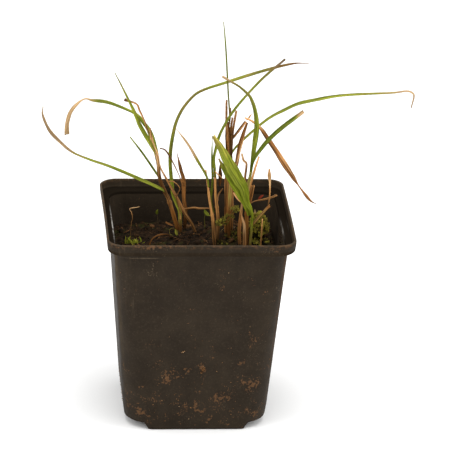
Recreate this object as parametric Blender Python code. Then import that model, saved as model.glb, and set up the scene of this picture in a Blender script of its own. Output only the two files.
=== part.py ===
"""A small clump of miscanthus grass in a square nursery pot.

Metres, +Z up, origin at the centre of the pot's base, front of the pot towards -Y.
Plant routes are written in millimetres, base first, in the same frame.
"""

import math

import bmesh
import bpy
import numpy as np
from mathutils import Vector

MM = 0.001

# Pot
POT_WIDTH = 90.0 * MM
POT_HEIGHT = 99.5 * MM
RIM_CORNER = 8.0 * MM
RIM_BAND = 6.0 * MM
RIM_STEP = 3.5 * MM
BODY_TOP_CORNER = 8.5 * MM
BASE_WIDTH = 68.0 * MM
BASE_CORNER = 14.0 * MM
BASE_EDGE = 0.8 * MM
WALL = 1.0 * MM
BAND_ROUND = 1.0 * MM
LIP = 0.6 * MM
LEDGE_ROUND = 1.4 * MM
LEDGE_RISE = 0.8 * MM
FOOT_HALF = 22.8 * MM
FOOT_SLOPE = 2.2 * MM
FOOT_HEIGHT = 3.0 * MM
DRAIN_RADIUS = 3.5 * MM
DRAIN_X = 28.8 * MM
DRAIN_Y = 18.0 * MM
DRAIN_CUT_DEPTH = 12.0 * MM
CUT_OVERSHOOT = 5.0 * MM
CORNER_STEPS = 6

# Compost
GAP = 0.3 * MM
COMPOST_EDGE_HEIGHT = 78.5 * MM
COMPOST_SHOULDER = 1.0 * MM
COMPOST_TOP_INSET = 0.2 * MM
COMPOST_BUMP = 0.35 * MM
LEFT_MOUND = (-2.0 * MM, 10.0 * MM, 15.0 * MM, 4.5 * MM)
RIGHT_MOUND = (20.0 * MM, 9.0 * MM, 10.0 * MM, 8.0 * MM)
COMPOST_RINGS = 11
COMPOST_SIDE_STEPS = 4
COMPOST_CORNER_STEPS = 8

# Plant
STATION_SPACING = 6.0 * MM
BLADE_THICKNESS = 0.45 * MM
THICK_BLADE = 0.6 * MM
BUNDLE_THICKNESS = 0.9 * MM
ROOT_GAP = 0.3 * MM
LEAN_SHARE = 0.8
MOSS_X = 30.8 * MM
MOSS_Y = 4.5 * MM
MOSS_RADIUS = 4.2 * MM
MOSS_CROWN = 7.5 * MM
MOSS_FOOT = 2.5 * MM

MATERIALS = {
    "pot_plastic": ((0.030, 0.026, 0.022), 0.55),
    "compost": ((0.035, 0.022, 0.014), 0.95),
    "green_leaf": ((0.16, 0.25, 0.06), 0.50),
    "dead_leaf": ((0.32, 0.18, 0.09), 0.75),
    "tan_stem": ((0.46, 0.30, 0.15), 0.65),
    "brown_stem": ((0.28, 0.15, 0.07), 0.65),
    "moss": ((0.14, 0.16, 0.03), 0.90),
}


def material(name):
    """The named material, made on first use."""
    found = bpy.data.materials.get(name)
    if found:
        return found
    colour, roughness = MATERIALS[name]
    made = bpy.data.materials.new(name)
    made.use_nodes = True
    shader = made.node_tree.nodes["Principled BSDF"]
    shader.inputs["Base Color"].default_value = (*colour, 1.0)
    shader.inputs["Roughness"].default_value = roughness
    shader.inputs["Metallic"].default_value = 0.0
    return made


def collection(name):
    made = bpy.data.collections.new(name)
    bpy.context.scene.collection.children.link(made)
    return made


def mesh_object(name, bm, group, slot=None):
    """An object from a bmesh, faces turned outward and shaded smooth."""
    bmesh.ops.recalc_face_normals(bm, faces=bm.faces)
    mesh = bpy.data.meshes.new(name)
    bm.to_mesh(mesh)
    bm.free()
    mesh.shade_smooth()
    mesh.set_sharp_from_angle(angle=math.radians(35))
    made = bpy.data.objects.new(name, mesh)
    group.objects.link(made)
    if slot:
        mesh.materials.append(material(slot))
    return made


def as_cutter(cutter):
    cutter.hide_render = True
    cutter.display_type = "WIRE"
    return cutter


def cut(target, cutter):
    modifier = target.modifiers.new(cutter.name, "BOOLEAN")
    modifier.operation = "DIFFERENCE"
    modifier.solver = "EXACT"
    modifier.object = cutter


# ---------------------------------------------------------------- pot

def rounded_square(width, corner, steps=CORNER_STEPS):
    """Points round a rounded square, anticlockwise, one corner arc after another."""
    reach = width / 2 - corner
    points = []
    for quarter in range(4):
        start = quarter * math.pi / 2
        turn = start + math.pi / 4
        centre_x = math.copysign(reach, math.cos(turn))
        centre_y = math.copysign(reach, math.sin(turn))
        for angle in np.linspace(start, start + math.pi / 2, steps):
            points.append((centre_x + corner * math.cos(angle), centre_y + corner * math.sin(angle)))
    return points


def loft(name, levels, group, slot=None):
    """A closed solid through rounded squares; each level is (width, corner, z)."""
    bm = bmesh.new()
    rings = []
    for width, corner, z in levels:
        rings.append([bm.verts.new((x, y, z)) for x, y in rounded_square(width, corner)])
    for low, high in zip(rings, rings[1:]):
        for i in range(len(low)):
            j = (i + 1) % len(low)
            bm.faces.new((low[i], low[j], high[j], high[i]))
    bm.faces.new(rings[0])
    bm.faces.new(rings[-1])
    return mesh_object(name, bm, group, slot)


def pot_width(z):
    """Outside width of the tapered body at height z."""
    top = POT_WIDTH - 2 * RIM_STEP
    share = z / (POT_HEIGHT - RIM_BAND)
    return BASE_WIDTH + (top - BASE_WIDTH) * share


def pot_corner(z):
    share = z / (POT_HEIGHT - RIM_BAND)
    return BASE_CORNER + (BODY_TOP_CORNER - BASE_CORNER) * share


def body_levels(bottom, top, inset):
    """Levels of the tapered body between two heights, moved inward by inset."""
    return [
        (pot_width(z) - 2 * inset, pot_corner(z) - inset / 2, z)
        for z in np.linspace(bottom, top, 4)
    ]


def side_blocks(name, grow, group):
    """Two blocks, sloped on the inside, that lift the base on both sides of the foot."""
    bm = bmesh.new()
    top = FOOT_HEIGHT + grow
    outer = BASE_WIDTH / 2 + CUT_OVERSHOOT
    for side in (-1, 1):
        made = bmesh.ops.create_cube(bm, size=2.0)
        for v in made["verts"]:
            z = top if v.co.z > 0 else -CUT_OVERSHOOT
            inner = FOOT_HALF - grow + z * FOOT_SLOPE / FOOT_HEIGHT
            x = outer if v.co.x > 0 else inner
            v.co = Vector((side * x, outer * v.co.y, z))
    return as_cutter(mesh_object(name, bm, group))


def drain_holes(name, group):
    bm = bmesh.new()
    for x_side in (-1, 1):
        for y_side in (-1, 1):
            made = bmesh.ops.create_cone(
                bm,
                cap_ends=True,
                segments=16,
                radius1=DRAIN_RADIUS,
                radius2=DRAIN_RADIUS,
                depth=DRAIN_CUT_DEPTH,
            )
            shift = Vector((x_side * DRAIN_X, y_side * DRAIN_Y, FOOT_HEIGHT))
            bmesh.ops.translate(bm, verts=made["verts"], vec=shift)
    return as_cutter(mesh_object(name, bm, group))


def build_pot(parts, cutters):
    band_foot = POT_HEIGHT - RIM_BAND
    outside = [(BASE_WIDTH - 2 * BASE_EDGE, BASE_CORNER - BASE_EDGE, 0.0)]
    outside += body_levels(BASE_EDGE, band_foot, 0.0)
    outside += [
        (POT_WIDTH - 3 * BAND_ROUND, RIM_CORNER - BAND_ROUND, band_foot),
        (POT_WIDTH - BAND_ROUND, RIM_CORNER - BAND_ROUND / 3, band_foot + BAND_ROUND),
        (POT_WIDTH, RIM_CORNER, POT_HEIGHT - LIP),
        (POT_WIDTH - LIP, RIM_CORNER, POT_HEIGHT),
    ]
    pot = loft("pot", outside, parts, "pot_plastic")

    ledge = band_foot + WALL
    inside = body_levels(WALL, ledge, WALL)
    inside += [
        (POT_WIDTH - 2 * WALL - LEDGE_ROUND, RIM_CORNER - WALL, ledge + LEDGE_RISE / 4),
        (POT_WIDTH - 2 * WALL, RIM_CORNER - WALL, ledge + LEDGE_RISE),
        (POT_WIDTH - 2 * WALL, RIM_CORNER - WALL, POT_HEIGHT + CUT_OVERSHOOT),
    ]
    hollow = as_cutter(loft("cut_pot_hollow", inside, cutters))
    cut(hollow, side_blocks("cut_sides_inside", WALL, cutters))
    cut(pot, hollow)
    cut(pot, side_blocks("cut_sides_outside", 0.0, cutters))
    cut(pot, drain_holes("cut_drain_holes", cutters))


# ---------------------------------------------------------------- compost

def compost_height(x, y):
    """Height of the compost: level at the wall, mounded under the clump, softly lumpy."""
    height = COMPOST_EDGE_HEIGHT
    for centre_x, centre_y, spread, rise in (LEFT_MOUND, RIGHT_MOUND):
        distance = (x - centre_x) ** 2 + (y - centre_y) ** 2
        height += rise * math.exp(-distance / (2 * spread**2))
    lumps = math.sin(x / (2.9 * MM) + 0.7) * math.cos(y / (3.7 * MM))
    lumps += math.sin(x / (5.3 * MM) - y / (4.1 * MM))
    return height + COMPOST_BUMP * lumps


def build_compost(parts, cutters):
    """Rounded-square rings: the root ball's sides, then rings closing over the lumpy top."""
    bm = bmesh.new()
    clear = WALL + GAP
    side_heights = np.linspace(clear, COMPOST_EDGE_HEIGHT - COMPOST_SHOULDER, COMPOST_SIDE_STEPS)
    rings = []
    for z in side_heights:
        width = pot_width(z) - 2 * clear
        outline = rounded_square(width, pot_corner(z) - clear / 2, COMPOST_CORNER_STEPS)
        rings.append([bm.verts.new((x, y, z)) for x, y in outline])
    width = pot_width(COMPOST_EDGE_HEIGHT) - 2 * clear - 2 * COMPOST_TOP_INSET
    edge = rounded_square(width, pot_corner(COMPOST_EDGE_HEIGHT) - clear, COMPOST_CORNER_STEPS)
    for share in np.linspace(1.0, 0.0, COMPOST_RINGS, endpoint=False):
        ring = [(x * share, y * share) for x, y in edge]
        rings.append([bm.verts.new((x, y, compost_height(x, y))) for x, y in ring])
    for low, high in zip(rings, rings[1:]):
        for i in range(len(low)):
            j = (i + 1) % len(low)
            bm.faces.new((low[i], low[j], high[j], high[i]))
    bm.faces.new(rings[0])
    middle = bm.verts.new((0.0, 0.0, compost_height(0.0, 0.0)))
    last = rings[-1]
    for i in range(len(last)):
        bm.faces.new((last[i], last[(i + 1) % len(last)], middle))
    compost = mesh_object("compost", bm, parts, "compost")
    cut(compost, side_blocks("cut_sides_compost", WALL + GAP, cutters))


# ---------------------------------------------------------------- plant

def seat_height(x, y, radius, lean=LEAN_SHARE):
    """Lowest z at which a round foot of this radius, leaning or not, stands clear of the compost."""
    around = [(x, y)]
    for angle in np.linspace(0, 2 * math.pi, 8, endpoint=False):
        around.append((x + radius * math.cos(angle), y + radius * math.sin(angle)))
    return max(compost_height(px, py) for px, py in around) + ROOT_GAP + lean * radius


def smooth_route(route, rooted, radius):
    """Evenly spaced points, in metres, on a Catmull-Rom curve through the route."""
    points = np.array(route, dtype=float) * MM
    if rooted:
        points[0, 2] = seat_height(points[0, 0], points[0, 1], radius)
    padded = np.vstack([2 * points[0] - points[1], points, 2 * points[-1] - points[-2]])
    dense = []
    for i in range(1, len(padded) - 2):
        a, b, c, d = padded[i - 1 : i + 3]
        t = np.linspace(0, 1, 12, endpoint=False)[:, None]
        dense.append(
            0.5 * (2 * b + (c - a) * t + (2 * a - 5 * b + 4 * c - d) * t**2 + (3 * b - a - 3 * c + d) * t**3)
        )
    dense = np.vstack(dense + [points[-1:]])
    travelled = np.concatenate([[0], np.cumsum(np.linalg.norm(np.diff(dense, axis=0), axis=1))])
    count = max(4, int(round(travelled[-1] / STATION_SPACING)) + 1, len(route))
    places = np.linspace(0, travelled[-1], count)
    return np.column_stack([np.interp(places, travelled, dense[:, k]) for k in range(3)])


def spread_values(values, count):
    """Values given at equal steps along the length, read at count stations."""
    return np.interp(np.linspace(0, 1, count), np.linspace(0, 1, len(values)), values) * MM


def blade(name, slot, widths, route, facing=(0, -0.75, 0.65), rooted=False, thickness=BLADE_THICKNESS):
    """A flat leaf: a thin lens-shaped section carried along its route, tapering with its widths."""
    centre = smooth_route(route, rooted, widths[0] * MM / 2)
    width = spread_values(widths, len(centre))
    tangent = np.gradient(centre, axis=0)
    bm = bmesh.new()
    rings = []
    for place, along, wide in zip(centre, tangent, width):
        across = Vector(along).cross(Vector(facing)).normalized()
        normal = across.cross(Vector(along)).normalized()
        thick = min(thickness, 0.6 * wide)
        middle = Vector(place)
        corners = (
            middle - across * (wide / 2),
            middle - normal * (thick / 2),
            middle + across * (wide / 2),
            middle + normal * (thick / 2),
        )
        rings.append([bm.verts.new(corner) for corner in corners])
    for low, high in zip(rings, rings[1:]):
        for i in range(4):
            j = (i + 1) % 4
            bm.faces.new((low[i], low[j], high[j], high[i]))
    bm.faces.new(rings[0])
    bm.faces.new(rings[-1])
    return mesh_object(name, bm, PARTS, slot)


def stem(name, slot, diameters, route, rooted=False):
    """A round stem: a curve through its route with a bevel and filled caps."""
    centre = smooth_route(route, rooted, diameters[0] * MM / 2)
    diameter = spread_values(diameters, len(centre))
    curve = bpy.data.curves.new(name, "CURVE")
    curve.dimensions = "3D"
    curve.bevel_depth = 1.0
    curve.bevel_resolution = 1
    curve.use_fill_caps = True
    spline = curve.splines.new("POLY")
    spline.points.add(len(centre) - 1)
    for point, place, wide in zip(spline.points, centre, diameter):
        point.co = (*place, 1.0)
        point.radius = wide / 2
    made = bpy.data.objects.new(name, curve)
    curve.materials.append(material(slot))
    PARTS.objects.link(made)
    return made


def build_left_tuft():
    stem(
        "culm_left_main", "brown_stem", (2.2, 2.3, 2.3, 2.0, 0.5),
        [(-7, 17, 83), (-11, 14.5, 95), (-13, 13.5, 101), (-15, 12.5, 105.5), (-17.5, 11.5, 112.5),
         (-19, 9, 124), (-21.5, 7.5, 131), (-23, 6, 140)],
        rooted=True,
    )
    stem(
        "stem_left_second", "tan_stem", (1.6, 1.7, 1.8, 1.5, 1.3),
        [(0, 12.5, 85.7), (-1.5, 12, 89), (-5.5, 11, 95.5), (-9, 9.5, 103), (-14, 8, 112.5),
         (-17, 7, 118)],
    )
    blade(
        "leaf_left_arching", "green_leaf", (1.4, 1.8, 2.2, 2.4, 0.9, 1.6, 2.2, 1.2),
        [(-19.5, 12, 125.5), (-22.5, 13.5, 135), (-25.5, 14.5, 139.5), (-29.5, 16, 143.5),
         (-38, 17.5, 147), (-43.5, 18.5, 148.5), (-50, 19.5, 149), (-53.5, 20.5, 149.5), (-57, 21, 147),
         (-60.5, 22, 142), (-62, 23, 135.5), (-62, 24, 129.5)],
    )
    blade(
        "leaf_left_upright", "green_leaf", (1.4, 1.8, 1.9, 1.4, 0.4),
        [(-23, 4.5, 133), (-26, 3, 138.5), (-28.5, 1.5, 143.5), (-31, 0, 150), (-37, -3.5, 163.5),
         (-41, -6, 172)],
    )
    blade(
        "leaf_left_long", "green_leaf", (1.8, 2.0, 2.1, 2.0, 1.6, 0.6),
        [(-17, 9.5, 107.5), (-25, 6.5, 112.5), (-41, 1.5, 121.5), (-52, -2.5, 127), (-60.5, -5.5, 132),
         (-67.5, -8, 139), (-72, -10, 145), (-75, -12.5, 153), (-75, -14, 158)],
    )
    blade(
        "leaf_left_thin", "green_leaf", (1.1, 1.1, 0.4),
        [(-17, 14.5, 110.5), (-24.5, 18.5, 121), (-31.5, 22, 129.5)],
    )
    blade(
        "leaf_tall_arching", "green_leaf", (1.9, 2.1, 2.0, 2.1, 2.3, 2.2, 2.0, 1.7, 0.4),
        [(-6.5, 14, 83), (-7, 15, 93), (-8.5, 15.5, 97), (-10.5, 16, 102), (-11, 16.5, 106.5),
         (-12, 18, 116), (-12, 18.5, 123.5), (-11, 19.5, 131), (-9.5, 20.5, 137.5), (-7, 21.5, 143),
         (-3.5, 22, 148), (0.5, 23, 151.5), (6, 23.5, 154), (14.5, 24.5, 156.5), (30.5, 27, 161),
         (46, 29, 164.5), (54.5, 30, 164.5)],
        rooted=True,
    )
    blade(
        "dead_blade_left", "dead_leaf", (1.6, 1.7, 1.9, 1.7, 0.5),
        [(-4.5, 18, 83), (-4, 17.5, 92), (-5, 17.5, 99), (-5.5, 17, 109), (-7, 16.5, 114.5),
         (-9, 16, 123.5)],
        rooted=True,
    )
    stem(
        "dead_thread_left_tip", "dead_leaf", (0.5, 0.5, 0.7),
        [(-24, 9, 138), (-25.5, 8.5, 142.5), (-28, 8, 148), (-29.5, 7.5, 151.5), (-33, 7.5, 153),
         (-35.5, 7, 154)],
    )
    stem(
        "dead_thread_left_back", "dead_leaf", (0.5, 0.6, 0.5),
        [(-8, 12, 113.5), (-11, 13.5, 119.5), (-14.5, 15, 125), (-17.5, 16, 126)],
    )
    stem(
        "dead_thread_left_kinked", "tan_stem", (0.5, 0.6, 0.6, 0.9),
        [(-11, 6, 112.5), (-8, 6, 109), (-9.5, 6.5, 104.5), (-8.5, 6.5, 100.5), (-7.5, 7, 96),
         (-7, 7, 92)],
    )


def build_middle_tuft():
    stem(
        "stub_middle_left", "tan_stem", (1.5, 1.8, 1.7, 1.4, 1.0),
        [(9, -3, 83), (8, -2.5, 94.5), (6.5, -2.5, 103), (5.5, -2.5, 109), (4.5, -2, 116),
         (3.5, -2, 122.5)],
        rooted=True,
    )
    stem(
        "stem_middle", "tan_stem", (1.4, 1.7, 1.6, 1.5),
        [(10.5, 1, 84), (10.5, 1, 95), (9, 1, 107.5), (8.5, 1, 117), (8, 1, 119.5)],
        rooted=True,
    )
    blade(
        "leaf_middle_brown_tip", "green_leaf", (1.0, 1.3, 1.2, 0.4),
        [(4, -4.5, 119), (-1, -7, 128.5), (-5.5, -9.5, 137), (-12, -12, 146.5)],
    )
    blade(
        "leaf_middle_thin", "green_leaf", (1.0, 1.0, 0.9, 0.4),
        [(7, 2.5, 104.5), (7.5, 3.5, 114.5), (7, 4.5, 123.5), (7, 6, 136)],
    )
    blade(
        "leaf_middle_diagonal", "green_leaf", (1.2, 1.4, 1.6, 1.6, 1.3, 0.4),
        [(8, -1, 121.5), (7.5, -0.5, 126), (8, -0.5, 130), (10.5, 0.5, 139.5), (17, 1.5, 151),
         (29, 3, 165), (40.5, 4, 175.5)],
    )
    stem(
        "spike_tall", "green_leaf", (0.9, 0.9, 0.8, 0.3),
        [(15, 6, 147), (14, 5, 157.5), (12, 3, 181.5), (10.5, 2, 195)],
    )
    blade(
        "leaf_broad", "green_leaf", (1.8, 1.8, 2.2, 4.2, 6.0, 5.0, 3.0, 0.6),
        [(25.5, -6, 83), (26, -9, 97), (25.5, -10.5, 103.5), (23, -12, 109), (21, -14, 116.5),
         (18, -15.5, 122), (14, -17.5, 129.5), (11, -19, 135.5), (8.5, -20.5, 140.5), (5, -22, 146.5)],
        facing=(0.1, -0.95, 0.2), rooted=True, thickness=THICK_BLADE,
    )
    blade(
        "leaf_broad_half", "green_leaf", (1.4, 2.4, 2.6, 1.8, 0.6),
        [(23, -7.5, 105.5), (20, -9, 111.5), (16, -11, 118.5), (12, -13, 125.5), (8.5, -15, 132.5)],
        facing=(-0.3, -0.95, 0.2),
    )
    blade(
        "dead_bundle", "dead_leaf", (2.0, 2.8, 2.9, 2.4),
        [(15.5, 5, 125), (14.5, 5, 131.5), (14.5, 5, 139), (13.5, 5, 144)],
        facing=(0, -1, 0), thickness=BUNDLE_THICKNESS,
    )
    stem("stub_bundle_a", "tan_stem", (1.0, 0.9, 0.8), [(13.5, 6.5, 145.5), (13.5, 8, 154)])
    stem("stub_bundle_b", "tan_stem", (0.8, 0.8, 0.7), [(15, 3, 147), (15, 2.5, 151.5)])
    stem("stub_bundle_c", "dead_leaf", (1.1, 1.0, 0.9), [(16, 2.5, 125), (16.5, 3, 138.5), (18, 3, 150.5)])
    stem("stub_bundle_d", "dead_leaf", (0.8, 0.8, 0.7), [(15.5, 0.5, 142.5), (16, 0, 148)])
    blade(
        "dead_branch_tan", "tan_stem", (1.2, 1.4, 0.9),
        [(17, -1, 138.5), (22.5, 1, 145.5)],
        facing=(0, -1, 0.2),
    )
    blade(
        "dead_blade_folded", "dead_leaf", (1.6, 1.9, 1.8, 1.2),
        [(18.5, 1, 123), (19.5, 2, 130), (20.5, 2.5, 135), (23.5, 4, 144)],
        facing=(0, -1, 0.2),
    )
    stem("dead_tip_tan", "tan_stem", (0.6, 0.8, 0.4), [(24.5, 11, 143), (26, 11, 145.5)])
    blade(
        "dead_leaf_remnant", "dead_leaf", (1.4, 2.3, 1.2),
        [(11, 7, 113.5), (11, 7.5, 118), (11.5, 8, 122)],
        facing=(0, -1, 0.2),
    )
    stem(
        "culm_middle_brown", "brown_stem", (1.6, 1.7, 1.5),
        [(15, 5, 87), (15, 5, 96.5), (14.5, 5.5, 113.5), (15, 6, 123)],
        rooted=True,
    )
    stem(
        "culm_middle_green", "green_leaf", (1.2, 1.3, 1.2),
        [(16, 1, 86), (16, 1.5, 98), (16, 3, 115.5)],
        rooted=True,
    )
    stem(
        "culm_middle_tan", "tan_stem", (1.4, 1.5, 1.3),
        [(17.5, 6.5, 88), (17.5, 6.5, 96), (17, 7, 114)],
        rooted=True,
    )
    stem("dead_sliver_back", "tan_stem", (0.6, 0.7, 0.5), [(11, 8, 105), (13, 8, 108.5)])
    blade(
        "dead_sliver_front", "tan_stem", (0.8, 1.2, 0.8),
        [(19.5, -6, 108), (17, -5, 111.5)],
        facing=(0, -1, 0.2),
    )


def build_right_tuft():
    stem(
        "stem_right", "green_leaf", (2.0, 2.1, 1.9, 1.6),
        [(24.5, -2, 84), (24, -2, 98.5), (24, -2, 111.5), (25.5, -2, 121)],
        rooted=True,
    )
    blade(
        "leaf_right_arching", "green_leaf", (1.5, 2.0, 2.4, 2.2, 1.9, 1.3, 0.4),
        [(25.5, -2, 122.5), (26.5, -5, 136), (27, -7.5, 145.5), (26, -9, 153.5), (24, -11, 160),
         (22, -12, 163.5), (17.5, -13.5, 168), (13, -14.5, 171), (9, -16, 174)],
    )
    blade(
        "leaf_right_long", "green_leaf", (1.0, 1.5, 2.0, 2.4, 2.4, 2.3, 2.0, 1.4, 0.9, 0.4),
        [(17.5, 9.5, 127), (22.5, 10.5, 132.5), (30, 12, 139), (35.5, 13, 143), (41.5, 14, 146),
         (48.5, 15, 149), (57, 16.5, 150.5), (66, 17.5, 152), (76.5, 19, 152.5), (94.5, 21.5, 152.5),
         (101.5, 22.5, 153), (104.5, 23, 152), (105.5, 23, 150), (104.5, 24, 144)],
    )
    blade(
        "leaf_right_torn", "green_leaf", (1.2, 1.8, 2.2, 2.3, 1.6),
        [(26, -5.5, 127.5), (29, -7, 133.5), (33.5, -8.5, 140), (39.5, -11, 147), (49, -14, 156)],
    )
    blade(
        "dead_leaf_right", "dead_leaf", (0.9, 1.5, 2.2, 2.5, 2.2, 1.4, 0.9, 1.1, 0.3),
        [(22.5, 8, 144.5), (26.5, 7.5, 142.5), (30, 7, 139.5), (33.5, 6.5, 134.5), (41.5, 5, 122.5),
         (49, 3.5, 111.5), (54.5, 2.5, 104.5), (58, 2, 102.5)],
    )
    stem(
        "stub_right_kinked", "tan_stem", (1.1, 1.2, 1.1, 0.9),
        [(24, 1.5, 110), (23, 1.5, 115), (23.5, 2, 123), (22, 2, 125), (21, 2, 129)],
    )
    stem("stub_right_tan", "tan_stem", (1.0, 1.1, 0.8), [(25, 5, 106), (27.5, 6, 117), (30, 7, 125.5)])
    stem("stub_right_short", "brown_stem", (1.5, 1.7, 1.6), [(26, 1, 106.5), (27, 1, 113)])
    stem(
        "straw_spoon", "tan_stem", (0.7, 0.8, 0.9, 1.7, 1.0),
        [(35, 6, 100.5), (35.5, 6, 104.5), (35.5, 6, 111), (35, 6, 117), (35, 6, 119.5)],
    )
    stem(
        "twig_right", "tan_stem", (0.8, 1.0, 1.3),
        [(28.5, 6, 102.5), (32.5, 8, 102.5), (36.5, 9.5, 103), (40, 11, 104)],
    )
    stem(
        "stub_right_green", "brown_stem", (1.5, 1.6, 1.6),
        [(26.5, -2, 93), (30, -0.5, 96.5), (33, 1, 99.5), (36, 2.5, 102)],
    )
    stem("straw_right", "tan_stem", (0.8, 1.0, 0.8), [(31, -4, 84), (31.5, -4, 97.5)], rooted=True)
    blade(
        "dead_blade_base_front", "dead_leaf", (1.4, 1.6, 1.2, 0.5),
        [(23, -7.5, 84), (22.5, -8, 94.5), (21.5, -8, 99), (20.5, -8.5, 103)],
        facing=(0, -1, 0.2), rooted=True,
    )
    blade(
        "dead_blade_base_back", "dead_leaf", (1.4, 1.7, 1.5, 0.8),
        [(21, -3, 84), (20.5, -3, 91), (21, -2.5, 98.5), (21.5, -2, 106)],
        facing=(0, -1, 0.2), rooted=True,
    )


def build_ground_layer():
    stem(
        "twig_cross", "tan_stem", (0.9, 1.1, 0.9),
        [(-4, 14, 95.5), (-0.5, 10, 97.5), (2, 6.5, 98.5), (5.5, 3, 100)],
    )
    stem("twig_middle", "tan_stem", (0.5, 0.6, 0.5), [(8, -4, 121.5), (10.5, -4, 119), (12, -4, 117.5)])
    stem("twig_mossy", "brown_stem", (1.0, 1.1, 0.8), [(11.5, -4, 94.5), (15, -2.5, 97), (19, -1, 101)])
    stem(
        "fibre_pale", "tan_stem", (0.7, 0.7, 0.6, 0.6),
        [(-31.5, 5, 80), (-31, 5, 91), (-30.5, 5, 94), (-31, 5, 97), (-32, 5, 99), (-29.5, 5, 99.5),
         (-27, 5, 100)],
        rooted=True,
    )
    stem(
        "stem_fallen", "brown_stem", (0.7, 0.9, 0.7),
        [(-23.5, 0, 80), (-21.5, 1, 84), (-19, 2, 86), (-16, 3, 86.5), (-13.5, 4, 86), (-11.5, 5, 84)],
        rooted=True,
    )
    build_moss_cushion()


def build_moss_cushion():
    """A ball stretched into a cushion, domed above and shallow below, with soft swellings."""
    bm = bmesh.new()
    bmesh.ops.create_icosphere(bm, subdivisions=3, radius=1.0)
    foot = seat_height(MOSS_X, MOSS_Y, MOSS_RADIUS, lean=0.0)
    centre = Vector((MOSS_X, MOSS_Y, foot + 1.1 * MOSS_FOOT))
    for v in bm.verts:
        swell = 1.0 + 0.10 * math.sin(5 * v.co.x + 1) * math.cos(6 * v.co.y)
        swell += 0.06 * math.sin(9 * v.co.z)
        reach = MOSS_CROWN if v.co.z > 0 else MOSS_FOOT
        bulge = Vector((MOSS_RADIUS * v.co.x, MOSS_RADIUS * v.co.y, reach * v.co.z))
        v.co = centre + bulge * swell
    mesh_object("moss_cushion_right", bm, PARTS, "moss")


for old in list(bpy.data.objects):
    bpy.data.objects.remove(old, do_unlink=True)
PARTS = collection("miscanthus_pot")
CUTTERS = collection("cutters")
build_pot(PARTS, CUTTERS)
build_compost(PARTS, CUTTERS)
build_left_tuft()
build_middle_tuft()
build_right_tuft()
build_ground_layer()
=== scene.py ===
"""A small miscanthus clump in a square nursery pot, with green and dead growth, moss and compost.

Metres, +Z up, the pot's front towards -Y. Routes of stems and blades are written in
millimetres, foot first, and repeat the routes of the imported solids.
"""

import functools
import math

import bpy
import numpy as np
from mathutils import Matrix, Vector


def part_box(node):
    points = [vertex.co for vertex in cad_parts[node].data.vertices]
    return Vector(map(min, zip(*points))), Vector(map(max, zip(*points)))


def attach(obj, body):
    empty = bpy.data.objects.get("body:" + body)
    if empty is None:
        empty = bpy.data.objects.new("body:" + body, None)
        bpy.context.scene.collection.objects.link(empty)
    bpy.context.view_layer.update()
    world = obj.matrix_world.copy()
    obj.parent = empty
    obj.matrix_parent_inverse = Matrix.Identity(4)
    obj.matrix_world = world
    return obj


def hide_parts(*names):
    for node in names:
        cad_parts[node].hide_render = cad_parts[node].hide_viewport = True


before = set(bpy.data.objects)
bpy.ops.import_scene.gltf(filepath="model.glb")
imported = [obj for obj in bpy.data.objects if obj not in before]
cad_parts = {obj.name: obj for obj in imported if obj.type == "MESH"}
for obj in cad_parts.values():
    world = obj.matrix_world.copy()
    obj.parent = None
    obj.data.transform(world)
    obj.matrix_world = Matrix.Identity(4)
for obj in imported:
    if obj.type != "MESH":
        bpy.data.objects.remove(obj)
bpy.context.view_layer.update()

bl_info = {
    "name": "Miscanthus in a nursery pot",
    "version": (1, 0, 0),
    "blender": (4, 5, 0),
    "location": "3D View > Sidebar > Miscanthus",
    "description": "Builds a potted clump of miscanthus grass on its packed frame",
    "category": "Object",
}

MM = 0.001
BODY = "root"
POT_LOW, POT_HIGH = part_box("pot")
POT_WIDTH = POT_HIGH.x - POT_LOW.x
POT_HEIGHT = POT_HIGH.z - POT_LOW.z

# The pot's sections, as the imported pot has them
RIM_STEP = 3.5 * MM
RIM_BAND = 6.0 * MM
BASE_WIDTH = 68.0 * MM
BASE_CORNER = 14.0 * MM
BODY_TOP_CORNER = 8.5 * MM
RIM_CORNER = 8.0 * MM
FOOT_HALF = 22.8 * MM
FOOT_SLOPE = 2.2 * MM
FOOT_HEIGHT = 3.0 * MM
LIFT_FADE = 9.0 * MM
DRAIN_PLACE = (28.8 * MM, 18.0 * MM)
DRAIN_RADIUS = 3.5 * MM

# The compost's top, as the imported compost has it; each mound has its X, Y, spread and rise
COMPOST_EDGE_HEIGHT = 78.5 * MM
COMPOST_BUMP = 0.35 * MM
MOUNDS = ((-2.0 * MM, 10.0 * MM, 15.0 * MM, 4.5 * MM), (20.0 * MM, 9.0 * MM, 10.0 * MM, 8.0 * MM))
WALL_GAP = 0.3 * MM

# Soft spots on the pot: place and spread along X, Y and Z, in millimetres. Soil dried on the front and on
# the rim, pale grit, the wet inner ledge, where the painted highlights also lie, and one scuff under the rim
SOIL_SPOTS = (
    ((-27.3, -36, 22.9), (5, 9, 2.6)), ((5.5, -37, 38.4), (10, 9, 2.6)), ((2.0, -37, 34.5), (4, 9, 5)),
    ((20.3, -37, 37.0), (4.5, 9, 3.2)), ((26.2, -38, 46.9), (6, 9, 6.5)), ((26.0, -36, 25.6), (8, 9, 8)),
    ((-2.8, -35, 13.8), (14, 9, 6.5)), ((-28.2, -35, 9.2), (8, 9, 5)), ((-14.8, -36, 28.2), (6, 9, 6)),
    ((11.0, -35, 17.0), (9, 9, 5)), ((24.0, -35, 9.0), (9, 9, 6)),
)
RIM_SPOTS = (((-24.0, -45, 98.8), (30, 8, 3.4)), ((34.0, -44, 97.6), (10, 8, 4.5)))
PALE_SPOTS = (
    ((-24.7, -41, 83.8), (8, 9, 7)), ((-18.0, -38, 48.2), (5, 9, 8)), ((18.5, -40, 72.7), (9, 9, 6)),
    ((-31.0, -39, 66.0), (3, 9, 20)), ((26.0, -37, 38.0), (8, 9, 20)),
)
# The wet ledge spots also place the painted highlights along the ledge's edges.
WET_AND_HIGHLIGHT_SPOTS = (((-42, -4, 93), (4.5, 34, 10)), ((41, -8, 88), (4.5, 22, 10)))
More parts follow.
